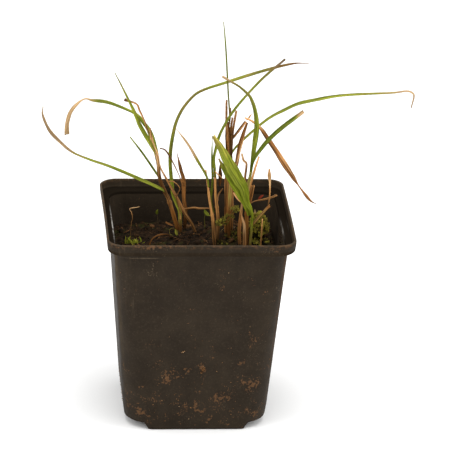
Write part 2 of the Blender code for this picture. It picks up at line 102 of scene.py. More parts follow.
SCUFF = ((-28.0, -41.3, 91.7), (12, 6, 0.5))
# Larger specks on the front: place along X and Z and size, in millimetres, and tone
FRONT_SPECKS = (
    (-7.5, 41.9, 0.40, 0.95), (-6.9, 42.3, 0.36, 0.90), (-8.1, 41.6, 0.28, 0.88), (2.4, 32.4, 0.95, 0.70),
    (2.0, 31.4, 0.7, 0.55), (3.0, 33.4, 0.5, 0.76), (1.5, 30.8, 0.5, 0.85), (13.0, 84.0, 0.3, 1.0),
    (-3.0, 12.0, 0.4, 0.85), (3.0, 10.0, 0.45, 0.8),
)


# ------------------------------------------------------------------ settings

def colour_setting(name, description, default):
    """A colour property."""
    return bpy.props.FloatVectorProperty(
        name=name, description=description, default=default, subtype="COLOR", size=3, min=0.0, max=1.0,
    )


class PotSettings(bpy.types.PropertyGroup):
    """Sizes and colours of the pot."""

    wall: bpy.props.FloatProperty(
        name="Wall", description="Thickness of the moulded wall", default=1.0 * MM, min=0.4 * MM,
        unit="LENGTH", precision=4,
    )
    waviness: bpy.props.FloatProperty(
        name="Rim waviness", description="How far the rim wanders up and down", default=0.22 * MM,
        min=0.0, unit="LENGTH", precision=5,
    )
    plastic: colour_setting("Plastic", "Colour of the clean plastic", (0.0200, 0.0142, 0.0092))
    # Besides real dust, this colour paints the light inside the pot, the highlight on the lip and the
    # reflection down the left corner.
    dust_and_light: colour_setting("Dust", "Colour of the thin dry dust", (0.120, 0.088, 0.054))
    soil: colour_setting("Soil", "Colour of the soil splashes", (0.165, 0.082, 0.038))


class CompostSettings(bpy.types.PropertyGroup):
    """The compost and the loose bits on it."""

    dark: colour_setting("Wet compost", "Colour of the darkest compost", (0.0052, 0.0033, 0.0018))
    brown: colour_setting("Compost crumbs", "Colour of the lighter crumbs", (0.036, 0.0185, 0.0080))
    crumbs: bpy.props.IntProperty(
        name="Crumbs", description="How many loose crumbs lie on top", default=1500, min=0, max=4000,
    )
    fibres: bpy.props.IntProperty(
        name="Fibres", description="How many short peat fibres lie on top", default=190, min=0, max=1000,
    )
    specks: bpy.props.IntProperty(
        name="Specks", description="How many soil specks stick to the pot's sides", default=420, min=0,
        max=2000,
    )


class PlantSettings(bpy.types.PropertyGroup):
    """Colours and thickness of the grass."""

    thickness: bpy.props.FloatProperty(
        name="Blade thickness", description="Thickness of a blade beside its midrib",
        default=0.22 * MM, min=0.1 * MM, unit="LENGTH", precision=5,
    )
    deep_green: colour_setting("Deep green", "Colour of the greenest blades", (0.092, 0.130, 0.005))
    fresh_green: colour_setting("Fresh green", "Colour of ordinary live blades", (0.214, 0.240, 0.020))
    yellowing: colour_setting("Yellowing", "Colour where a blade starts to dry", (0.330, 0.245, 0.055))
    straw: colour_setting("Straw", "Colour of dried tips", (0.480, 0.310, 0.150))
    tan: colour_setting("Tan stem", "Colour of dry stems and stubs", (0.520, 0.245, 0.076))
    dead: colour_setting("Dead blade", "Colour of dead blades", (0.345, 0.147, 0.040))
    brown: colour_setting("Brown stem", "Colour of old stem bases", (0.285, 0.114, 0.025))
    red: colour_setting("Red leaf", "Colour of the fallen red leaf bit", (0.270, 0.034, 0.013))


class MossSettings(bpy.types.PropertyGroup):
    """The moss."""

    shade: colour_setting("Shaded moss", "Colour of the lower moss", (0.055, 0.048, 0.008))
    tips: colour_setting("Moss tips", "Colour of the fresh tips", (0.500, 0.430, 0.055))
    shoots: bpy.props.IntProperty(
        name="Cushion shoots", description="Shoots on the cushion", default=300, min=10, max=2000,
    )


class StageSettings(bpy.types.PropertyGroup):
    """Floor, light and camera."""

    floor: colour_setting("Floor", "Colour of the floor", (0.97, 0.97, 0.965))
    surround: bpy.props.FloatProperty(
        name="Surround", description="Strength of the even light from all sides", default=0.84, min=0.0,
    )
    lamp: bpy.props.FloatProperty(
        name="Lamp", description="Power of the large soft lamp", default=12.0, min=0.0, unit="POWER",
    )


# ------------------------------------------------------------------ numbers

def lattice_value(cell, seed):
    """A repeatable value in -1..1 for each whole-number cell: its three parts mixed by odd factors."""
    mixed = cell[..., 0] * 73856093 ^ cell[..., 1] * 19349663 ^ cell[..., 2] * 83492791 ^ seed * 6542989
    mixed = (mixed & 0x7FFFFFFF) * 1103515245 & 0x7FFFFFFFFFFF
    mixed = (mixed ^ (mixed >> 15)) * 12820163 & 0x7FFFFFFFFFFF
    return ((mixed >> 11) & 0xFFFF) / 32767.5 - 1.0


def softened(part):
    """3t^2 - 2t^3: 0 to 1 with level ends."""
    return part * part * (3.0 - 2.0 * part)


def value_noise(points, spacing, seed):
    """Smooth noise in -1..1: values at the corners of a lattice, blended by smoothstep weights."""
    cell = np.asarray(points, dtype=float) / spacing
    base = np.floor(cell).astype(np.int64)
    part = softened(cell - base)
    total = np.zeros(cell.shape[:-1])
    for corner in np.ndindex(2, 2, 2):
        weight = np.prod(np.where(np.array(corner) == 1, part, 1.0 - part), axis=-1)
        total += weight * lattice_value(base + np.array(corner), seed)
    return total


def line_noise(place, spacing, seed):
    """Value noise along a line: the lattice noise read at (place, seed, 0)."""
    place = np.asarray(place, dtype=float)
    points = np.stack([place, np.full_like(place, seed * 7.3 * spacing), np.zeros_like(place)], axis=-1)
    return value_noise(points, spacing, seed)


def smooth_step(value, low, high):
    """0 below low, 1 above high, and 3t^2 - 2t^3 between."""
    return softened(np.clip((np.asarray(value, dtype=float) - low) / (high - low), 0.0, 1.0))


def eased(values, where):
    """Values given at equal steps over 0..1, read at where, with a smoothstep between neighbours."""
    values = np.atleast_1d(np.asarray(values, dtype=float))
    if len(values) == 1:
        return np.full(np.shape(where), values[0])
    place = np.clip(where, 0.0, 1.0) * (len(values) - 1)
    low = np.minimum(place.astype(int), len(values) - 2)
    part = softened(place - low)
    return values[low] * (1.0 - part) + values[low + 1] * part


def unit(vectors):
    return vectors / np.maximum(np.linalg.norm(vectors, axis=-1, keepdims=True), 1e-12)


def compost_height(x, y):
    """Height of the compost: level at the wall, plus two Gaussian mounds and two crossed sine lumps."""
    height = np.full(np.shape(x), COMPOST_EDGE_HEIGHT)
    for centre_x, centre_y, spread, rise in MOUNDS:
        distance = (x - centre_x) ** 2 + (y - centre_y) ** 2
        height = height + rise * np.exp(-distance / (2 * spread**2))
    lumps = np.sin(x / (2.9 * MM) + 0.7) * np.cos(y / (3.7 * MM))
    lumps = lumps + np.sin(x / (5.3 * MM) - y / (4.1 * MM))
    return height + COMPOST_BUMP * lumps


def compost_surface(x, y):
    """The fine compost surface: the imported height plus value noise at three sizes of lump."""
    places = np.stack([x, y, np.zeros_like(x)], axis=-1)
    rough = 0.75 * value_noise(places, 4.2 * MM, 3)
    rough = rough + 0.50 * value_noise(places, 1.9 * MM, 5)
    rough = rough + 0.26 * value_noise(places, 0.9 * MM, 9)
    return compost_height(x, y) + rough * MM - 0.2 * MM


# ------------------------------------------------------------------ meshes

def closed_rings(grid, marks, start_out=0.0, end_out=0.0, uv=None):
    """Rings of points (rows, columns, 3) skinned with quads, and a fan to a pole at both ends.

    A pole is the mean of its end ring, moved outward along the route by start_out or end_out.
    marks holds one value for each point under each name, and uv a pair; a pole takes its ring's mean.
    """
    rows, columns = grid.shape[:2]
    first, last = grid[0].mean(axis=0), grid[-1].mean(axis=0)
    start_pole = first + start_out * unit(first - grid[1].mean(axis=0))
    end_pole = last + end_out * unit(last - grid[-2].mean(axis=0))
    points = np.vstack([grid.reshape(-1, 3), start_pole, end_pole])
    row, column = np.meshgrid(np.arange(rows - 1), np.arange(columns), indexing="ij")
    beside = (column + 1) % columns
    corners = (row * columns + column, row * columns + beside)
    corners += ((row + 1) * columns + beside, (row + 1) * columns + column)
    quads = np.stack(corners, axis=-1).reshape(-1, 4)
    around = np.arange(columns)
    onward = (around + 1) % columns
    start_fan = np.stack([onward, around, np.full(columns, rows * columns)], axis=-1)
    base = (rows - 1) * columns
    end_fan = np.stack([base + around, base + onward, np.full(columns, rows * columns + 1)], axis=-1)
    made = {"points": points, "quads": quads, "tris": np.vstack([start_fan, end_fan])}
    if uv is not None:
        made["uv"] = np.vstack([uv.reshape(-1, 2), uv[0].mean(axis=0), uv[-1].mean(axis=0)])
    for name, values in marks.items():
        values = np.broadcast_to(values, (rows, columns))
        made[name] = np.concatenate([values.ravel(), [values[0].mean(), values[-1].mean()]])
    return turned_outward(made)


def turned_outward(shape):
    """Flips every face when the signed volume, the sum of corner triple products, is negative."""
    quads, tris, points = shape["quads"], shape["tris"], shape["points"]
    split = np.vstack([tris, quads[:, [0, 1, 2]], quads[:, [0, 2, 3]]])
    centred = points - points.mean(axis=0)
    a, b, c = centred[split[:, 0]], centred[split[:, 1]], centred[split[:, 2]]
    if np.einsum("ij,ij->i", a, np.cross(b, c)).sum() < 0:
        shape["quads"] = quads[:, ::-1]
        shape["tris"] = tris[:, ::-1]
    return shape


def joined(shapes):
    """Several shapes as one: their arrays end to end, with the face numbers moved on."""
    counts = np.cumsum([0] + [len(shape["points"]) for shape in shapes])
    made = {}
    for name in shapes[0]:
        if name in ("quads", "tris"):
            made[name] = np.vstack([shape[name] + start for shape, start in zip(shapes, counts)])
        else:
            made[name] = np.concatenate([shape[name] for shape in shapes])
    return made


def add_piece(name, shape, material, slot, stands_for=(), flat=False):
    """Puts a shape into a mesh object that rides on the body, with the given material; slot is not used."""
    mesh = bpy.data.meshes.new(name)
    quads, tris = shape["quads"], shape["tris"]
    corners = np.concatenate([quads.ravel(), tris.ravel()]).astype(np.int32)
    starts = np.concatenate([
        np.arange(len(quads)) * 4,
        len(quads) * 4 + np.arange(len(tris)) * 3,
    ]).astype(np.int32)
    mesh.vertices.add(len(shape["points"]))
    mesh.vertices.foreach_set("co", shape["points"].astype(np.float32).ravel())
    mesh.loops.add(len(corners))
    mesh.loops.foreach_set("vertex_index", corners)
    mesh.polygons.add(len(starts))
    mesh.polygons.foreach_set("loop_start", starts)
    mesh.update(calc_edges=True)
    if "uv" in shape:
        layer = mesh.uv_layers.new(name="lie")
        layer.data.foreach_set("uv", shape["uv"][corners].astype(np.float32).ravel())
    for mark in ("dry", "tone"):
        if mark in shape:
            stored = mesh.attributes.new(mark, "FLOAT", "POINT")
            stored.data.foreach_set("value", shape[mark].astype(np.float32))
    mesh.validate()
    if not flat:
        mesh.shade_smooth()
    mesh.materials.append(material)
    made = bpy.data.objects.new(name, mesh)
    bpy.context.scene.collection.objects.link(made)
    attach(made, BODY)
    if stands_for:
        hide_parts(*stands_for)
    return made


# ------------------------------------------------------------------ grass

ROOT_DEPTH = 1.6 * MM
STEM_FACING = (0.15, -0.95, 0.25)


class Route:
    """An evenly measured Catmull-Rom curve through points given in millimetres."""

    def __init__(self, points, rooted=False):
        points = np.array(points, dtype=float) * MM
        if rooted:
            points[0, 2] = compost_height(points[0, 0], points[0, 1]) - ROOT_DEPTH
        padded = np.vstack([2 * points[0] - points[1], points, 2 * points[-1] - points[-2]])
        a, b, c, d = (padded[i : len(padded) - 3 + i, None] for i in range(4))
        t = np.linspace(0, 1, 24, endpoint=False)[None, :, None]
        bends = 2 * b + (c - a) * t + (2 * a - 5 * b + 4 * c - d) * t**2
        bends = 0.5 * (bends + (3 * b - a - 3 * c + d) * t**3)
        self.points = np.vstack([bends.reshape(-1, 3), points[-1:]])
        steps = np.linalg.norm(np.diff(self.points, axis=0), axis=1)
        self.travelled = np.concatenate([[0.0], np.cumsum(steps)])
        self.length = self.travelled[-1]

    def at(self, distance):
        """Points at these distances from the foot."""
        return np.stack(
            [np.interp(distance, self.travelled, self.points[:, k]) for k in range(3)], axis=-1
        )

    def along(self, distance):
        """Unit directions at these distances, from points a little before and after."""
        reach = 0.8 * MM
        ahead = self.at(np.minimum(distance + reach, self.length))
        behind = self.at(np.maximum(distance - reach, 0.0))
        return unit(ahead - behind)


def ragged(around, depth, seed):
    """How far each point of an end ring falls short of the tip: noise round the ring times depth."""
    turn = np.linspace(0, 2 * np.pi, around, endpoint=False)
    circle = np.stack([np.cos(turn), np.sin(turn), np.full(around, float(seed))], axis=-1)
    uneven = 0.6 * value_noise(circle, 0.8, seed) + 0.5 * value_noise(circle, 0.35, seed + 1)
    return depth * np.clip(0.5 + 0.75 * uneven, 0.0, 1.3)


def carried(path, rows, around, facing, short):
    """Where the rings of a section lie: share and distance of each row, its turn, centre and sideways
    and upward directions, for a section that faces one way and falls short of the route by short."""
    share = np.linspace(0, 1, rows)[:, None]
    turn = np.linspace(0, 2 * np.pi, around, endpoint=False)[None, :]
    distance = share * path.length
    place = distance - short(share)
    along = path.along(distance)
    across = unit(np.cross(along, np.asarray(facing, dtype=float)))
    return share, distance, turn, place, path.at(place), across, unit(np.cross(across, along))


def blade(
    route, widths, facing=(0, -0.75, 0.65), rooted=False, dry=(0.3,), tone=(1.0,), halves=(1.0, 1.0),
    twist=(0.0,), fold=0.32, thick=1.0, torn=0.0, ripple=0.05, seed=1, around=20,
):
    """A grass blade: a thin folded section carried along a route.

    Over the section X runs 1, -1, 1 as a cosine: the place is half the width times X sideways, and up by
    fold times the smoothed |X|, plus or minus the thickness that thins to the margins, plus a midrib below.
    Margins ripple by noise times X squared. widths, dry, tone and twist (degrees) are values at equal steps
    from foot to tip; tone carries painted shade and painted light as well as the blade's own tone, and
    halves paints one side of the fold in shade and the other lit.
    """
    path = Route(route, rooted)
    rows = int(np.clip(path.length / (0.9 * MM), 36, 190))
    missing = ragged(around, torn * MM, seed)[None, :]
    share, distance, turn, place, centre, across, normal = carried(
        path, rows, around, facing, lambda share: missing * smooth_step(share, 0.80, 1.0)
    )
    side = np.cos(turn)
    angle = np.radians(eased(twist, share))[..., None]
    across, normal = (
        across * np.cos(angle) + normal * np.sin(angle),
        normal * np.cos(angle) - across * np.sin(angle),
    )
    half = eased(widths, share) * MM / 2
    half = half * (1 + 0.05 * line_noise(distance, 6 * MM, seed + 3))
    body = bpy.context.scene.miscanthus_plant.thickness * thick
    gutter = fold * half * (np.sqrt(side**2 + 0.03) - 0.17)
    sheet = body * np.sign(np.sin(turn)) * np.abs(np.sin(turn)) ** 0.6 / 2
    sheet = sheet * np.clip(half / (0.5 * MM), 0.35, 1.0)
    rib = -0.55 * body * np.exp(-((side / 0.16) ** 2)) * (np.sin(turn) < 0)
    wave = line_noise(distance + 40 * MM * np.sign(side), 7 * MM, seed + 5)
    lift = gutter + sheet + rib + ripple * 6 * half * side**2 * wave * 0.5
    grid = centre + across * (half * side)[..., None] + normal * lift[..., None]
    uv = np.stack([half * side / MM + seed * 3.7, place / MM + seed * 11.0], axis=-1)
    # Painted shade and light: the tone along the blade, one half of the fold shaded and the other lit by
    # halves, and the margins a little darker.
    shade = eased(tone, share) * np.where(side < 0, halves[0], halves[1])
    shade = shade * (1 - 0.12 * np.exp(-(((1 - np.abs(side)) / 0.08) ** 2)))
    marks = {"dry": np.broadcast_to(eased(dry, share), (rows, around)), "tone": shade}
    return closed_rings(grid, marks, 0.2 * MM, 0.1 * MM if torn else 0.3 * MM, uv)


def stem(
    route, widths, rooted=False, dry=(1.0,), tone=(1.0,), nodes=(), lap=0.16, flat=0.0, torn=0.5,
    hollow=0.6, seed=1, around=18,
):
    """A culm or sheath: a ribbed, rolled section carried along a route.

    Round the section the radius grows by lap and drops back at the sheath's edge, which winds
    slowly, plus fine ribs and noise. Each node adds a Gaussian ring. flat squeezes the section.
    A broken end falls short by noise and its pole is drawn in by hollow radii.
    """
    path = Route(route, rooted)
    rows = int(np.clip(path.length / (0.8 * MM), 10, 130))
    missing = ragged(around, torn * MM, seed)[None, :]
    share, distance, turn, place, centre, across, normal = carried(
        path, rows, around, STEM_FACING, lambda share: missing * smooth_step(share, 0.75, 1.0)
    )
    radius = eased(widths, share) * 0.44 * MM
    wound = (turn / (2 * np.pi) + 0.25 * seed + 0.35 * share) % 1.0
    swell = 1 + lap * (wound - 0.5) + 0.035 * np.cos(turn * 6 + seed)
    swell = swell + 0.06 * line_noise(distance + turn * 0.4 * MM, 3 * MM, seed)
    for node in nodes:
        gap = distance - node * path.length
        swell = swell + 0.24 * np.exp(-((gap / (0.7 * MM)) ** 2)) - 0.10 * smooth_step(gap, 0.0, 0.6 * MM)
    grid = centre + across * (radius * swell * np.cos(turn))[..., None]
    grid = grid + normal * (radius * swell * (1 - flat) * np.sin(turn))[..., None]
    mirrored = np.abs(turn - np.pi)
    uv = np.stack([
        np.broadcast_to(mirrored * radius / MM, (rows, around)) + seed * 2.9,
        place / MM + seed * 13.0,
    ], axis=-1)
    # The tone carries painted shade and painted light along the piece as well as its own tone; the sheath's
    # edge is darker.
    marks = {
        "dry": np.broadcast_to(eased(dry, share), (rows, around)),
        "tone": eased(tone, share) * (1 - 0.30 * smooth_step(wound, 0.93, 1.0)),
    }
    drawn_in = -hollow * float(radius[-1, 0]) if torn else 0.3 * float(radius[-1, 0])
    return closed_rings(grid, marks, 0.0, drawn_in, uv)


# ------------------------------------------------------------------ node helpers

def feed(tree, node, inputs):
    """Gives each input a value or links it to another node's output."""
    for socket, value in inputs.items():
        if isinstance(value, bpy.types.NodeSocket):
            tree.links.new(value, node.inputs[socket])
        else:
            node.inputs[socket].default_value = value


def add_node(tree, kind, inputs=None, **settings):
    """A node with its own settings and its inputs fed."""
    made = tree.nodes.new(kind)
    for key, value in settings.items():
        setattr(made, key, value)
    feed(tree, made, inputs or {})
    return made


def maths(operation):
    """A helper that runs one operation along its values and gives the last maths node's output."""
    def chained(tree, first, *others):
        for other in others:
            made = add_node(tree, "ShaderNodeMath", {0: first, 1: other}, operation=operation)
            first = made.outputs[0]
        return first
    return chained


plus, minus, times, largest = (maths(name) for name in ("ADD", "SUBTRACT", "MULTIPLY", "MAXIMUM"))


def magnitude(tree, value):
    return add_node(tree, "ShaderNodeMath", {0: value}, operation="ABSOLUTE").outputs[0]


def vector_maths(tree, operation, inputs):
    return add_node(tree, "ShaderNodeVectorMath", inputs, operation=operation).outputs


def stretched(tree, vector, factors):
    return vector_maths(tree, "MULTIPLY", {0: vector, 1: factors})[0]


def scaled_colour(tree, colour, value):
    return vector_maths(tree, "SCALE", {0: colour, "Scale": value})[0]


def noise(tree, vector, scale, detail=2.0, roughness=0.5, distortion=0.0):
    inputs = {"Vector": vector, "Scale": scale, "Detail": detail, "Roughness": roughness}
    inputs["Distortion"] = distortion
    return add_node(tree, "ShaderNodeTexNoise", inputs).outputs["Fac"]


def remapped(tree, value, low, high, to_low=0.0, to_high=1.0):
    """value, eased from low..high to to_low..to_high and held at the ends."""
    inputs = {"Value": value, "From Min": low, "From Max": high, "To Min": to_low, "To Max": to_high}
    return add_node(tree, "ShaderNodeMapRange", inputs, interpolation_type="SMOOTHSTEP").outputs["Result"]


def rgba(colour):
    """A colour with full alpha; a node's output stays as it is."""
    return colour if isinstance(colour, bpy.types.NodeSocket) else (*tuple(colour)[:3], 1.0)


def blended(tree, factor, first, second):
    """The first colour turning into the second as factor goes from 0 to 1."""
    inputs = {0: factor, 6: rgba(first), 7: rgba(second)}
    return add_node(tree, "ShaderNodeMix", inputs, data_type="RGBA").outputs[2]


def ramp(tree, value, stops):
    """A colour ramp through (place, colour) stops."""
    made = add_node(tree, "ShaderNodeValToRGB", {"Fac": value})
    points = made.color_ramp.elements
    while len(points) < len(stops):
        points.new(0.5)
    for point, (place, colour) in zip(points, stops):
        point.position = place
        point.color = rgba(colour)
    return made.outputs["Color"]


def bump(tree, height, distance, strength=1.0):
    inputs = {"Height": height, "Distance": distance, "Strength": strength}
    return add_node(tree, "ShaderNodeBump", inputs).outputs["Normal"]


def mark(tree, name):
    """The value stored on the surface under this name."""
    return add_node(tree, "ShaderNodeAttribute", attribute_name=name).outputs["Fac"]


def object_place(tree):
    """The place on the piece, in metres."""
    return add_node(tree, "ShaderNodeTexCoord").outputs["Object"]


def built_once(store, name):
    """Marks a builder whose first call builds the group or material and later calls find it by name."""
    def marked(build):
        @functools.wraps(build)
        def found_or_built():
            found = getattr(bpy.data, store).get(name)
            return build(name) if found is None else found
        return found_or_built
    return marked


def new_group(name, vectors, numbers, results):
    """An empty shader group with these sockets, its entry's outputs and its exit's inputs."""
    tree = bpy.data.node_groups.new(name, "ShaderNodeTree")
    kinds = ((vectors, "INPUT", "Vector"), (numbers, "INPUT", "Float"), (results, "OUTPUT", "Float"))
    for sockets, way, kind in kinds:
        for socket in sockets:
            tree.interface.new_socket(name=socket, in_out=way, socket_type=f"NodeSocket{kind}")
    return tree, tree.nodes.new("NodeGroupInput").outputs, tree.nodes.new("NodeGroupOutput").inputs


def placed_group(tree, group, inputs):
    made = add_node(tree, "ShaderNodeGroup", node_tree=group)
    feed(tree, made, inputs)
    return made.outputs


@built_once("node_groups", "soil speckle")
def speckle_group(name):
    """Grains in patches: fine noise plus a share of broad noise, cut at a level."""
    numbers = ("Grain", "Patch", "Spread", "Level")
    tree, entry, leave = new_group(name, ("Vector",), numbers, ("Mask",))
    grain = noise(tree, entry["Vector"], entry["Grain"], 2.5, 0.6, 0.6)
    patch = noise(tree, entry["Vector"], entry["Patch"], 3.0, 0.6, 0.4)
    share = times(tree, minus(tree, patch, 0.5), entry["Spread"])
    level = minus(tree, plus(tree, grain, share), entry["Level"])
    tree.links.new(remapped(tree, level, 0.0, 0.07), leave["Mask"])
    return tree


@built_once("node_groups", "plant fibre")
def fibre_group(name):
    """Veins and fibres: noise squeezed across and drawn out along the piece's own length."""
    tree, entry, leave = new_group(name, ("Vector",), ("Fineness",), ("Fibre", "Strand", "Blotch"))
    drawn = stretched(tree, entry["Vector"], (1.0, 0.035, 1.0))
    tree.links.new(noise(tree, drawn, entry["Fineness"], 3.0, 0.65), leave["Fibre"])
    strand = stretched(tree, entry["Vector"], (1.5, 0.045, 1.0))
    tree.links.new(noise(tree, strand, 1.0, 2.0, 0.5), leave["Strand"])
    loose = stretched(tree, entry["Vector"], (0.55, 0.16, 1.0))
    tree.links.new(noise(tree, loose, 1.0, 4.0, 0.6, 0.5), leave["Blotch"])
    return tree


@built_once("node_groups", "soft spot")
def spot_group(name):
    """A soft spot: 1 at its centre, falling to 0 one spread away along each axis."""
    tree, entry, leave = new_group(name, ("Vector", "Centre", "Spread"), (), ("Mask",))
    away = vector_maths(tree, "SUBTRACT", {0: entry["Vector"], 1: entry["Centre"]})[0]
    away = vector_maths(tree, "DIVIDE", {0: away, 1: entry["Spread"]})[0]
    distance = vector_maths(tree, "LENGTH", {0: away})["Value"]
    tree.links.new(remapped(tree, distance, 1.0, 0.0), leave["Mask"])
    return tree


def spots_of(tree, here, spots):
    """The strongest of several soft spots, given in millimetres."""
    masks = []
    for centre, spread in spots:
        inputs = {"Vector": here, "Centre": np.array(centre) * MM, "Spread": np.array(spread) * MM}
        masks.append(placed_group(tree, spot_group(), inputs)["Mask"])
    return largest(tree, *masks)


def speckled(tree, vector, grain, patch, spread, level):
    """Where grains of this size lie; a lower level gives more of them."""
    inputs = {"Vector": vector, "Grain": grain, "Patch": patch, "Spread": spread, "Level": level}
    return placed_group(tree, speckle_group(), inputs)["Mask"]


# ------------------------------------------------------------------ materials

def new_material(name):
    made = bpy.data.materials.new(name)
    made.use_nodes = True
    return made, made.node_tree, made.node_tree.nodes["Principled BSDF"]


def finish_shader(tree, shader, **sources):
    """Feeds the shader's inputs, their names written with underscores."""
    feed(tree, shader, {name.replace("_", " "): value for name, value in sources.items()})


def plant_material(name, dry_colour, roughness, fleck, contrast):
    """Grass in every state: the stored dryness, broken up by blotches and fibres, picks a colour from green
    through yellow to this finish's dry colour; tone and fibres shade it, the tone holding painted shade and
    painted light, and a high tone on dry parts turns the colour toward straw."""
    found = bpy.data.materials.get(name)
    if found is not None:
        return found
    settings = bpy.context.scene.miscanthus_plant
    made, tree, shader = new_material(name)
    lie = add_node(tree, "ShaderNodeUVMap", uv_map="lie").outputs["UV"]
    strands = placed_group(tree, fibre_group(), {"Vector": lie, "Fineness": 4.2})
    fibre = strands["Fibre"]
    blotches = times(tree, minus(tree, strands["Blotch"], 0.5), 0.55)
    veins = times(tree, minus(tree, fibre, 0.5), 0.28)
    state = plus(tree, mark(tree, "dry"), blotches, veins)
    dry_colour = np.array(dry_colour)
    stops = (
        (0.02, settings.deep_green),
        (0.30, settings.fresh_green),
        (0.52, settings.yellowing),
        (0.72, dry_colour * 0.85),
        (1.00, dry_colour * 1.08),
    )
    colour = ramp(tree, state, stops)
    spots = times(tree, speckled(tree, lie, 1.6, 0.16, 0.9, fleck), 0.75)
    colour = blended(tree, spots, colour, dry_colour * 0.32)
    tone = mark(tree, "tone")
    # Toward straw where the tone runs high on dry parts: bleaching, and painted light where lit stretches
    # and lit halves raise the tone.
    bleached_and_lit = times(tree, remapped(tree, tone, 0.75, 1.45, 0.0, 0.8), remapped(tree, state, 0.50, 0.80))
    colour = blended(tree, bleached_and_lit, colour, settings.straw)
    streaks = remapped(tree, strands["Strand"], 0.38, 0.62, 1.0 - contrast, 1.0 + contrast)
    # The tone scales the colour with its painted shade and painted light.
    shade = times(tree, tone, remapped(tree, fibre, 0.25, 0.75, 0.72, 1.26), streaks)
    finish_shader(
        tree, shader,
        Base_Color=scaled_colour(tree, colour, shade),
        Roughness=remapped(tree, fibre, 0.3, 0.7, roughness - 0.08, roughness + 0.10),
        Specular_IOR_Level=0.10,
        Normal=bump(tree, fibre, 0.10 * MM, 0.8),
    )
    return made


# Each plant finish: material name, setting of its dry colour, roughness, level of its flecks,
# contrast of its streaks, slot
PLANT_FINISHES = {
    "green_leaf": ("green_leaf_blade", "straw", 0.46, 0.74, 0.22, "green_leaf"),
    "sheathed_leaf": ("green_leaf_brown_sheath", "brown", 0.48, 0.74, 0.28, "green_leaf"),
    "dead_leaf": ("dead_leaf_blade", "dead", 0.70, 0.66, 0.52, "dead_leaf"),
    "tan_stem": ("tan_straw", "tan", 0.62, 0.70, 0.55, "tan_stem"),
    "tan_thread": ("tan_straw", "tan", 0.62, 0.70, 0.55, "dead_leaf"),
    "brown_stem": ("brown_culm", "brown", 0.62, 0.68, 0.58, "brown_stem"),
    "red_leaf": ("red_leaf_bit", "red", 0.60, 0.80, 0.20, "dead_leaf"),
}


def plant_finish(kind):
    """The material and the slot of one kind of growth."""
    name, colour, roughness, fleck, contrast, slot = PLANT_FINISHES[kind]
    dry_colour = getattr(bpy.context.scene.miscanthus_plant, colour)
    return plant_material(name, dry_colour, roughness, fleck, contrast), slot


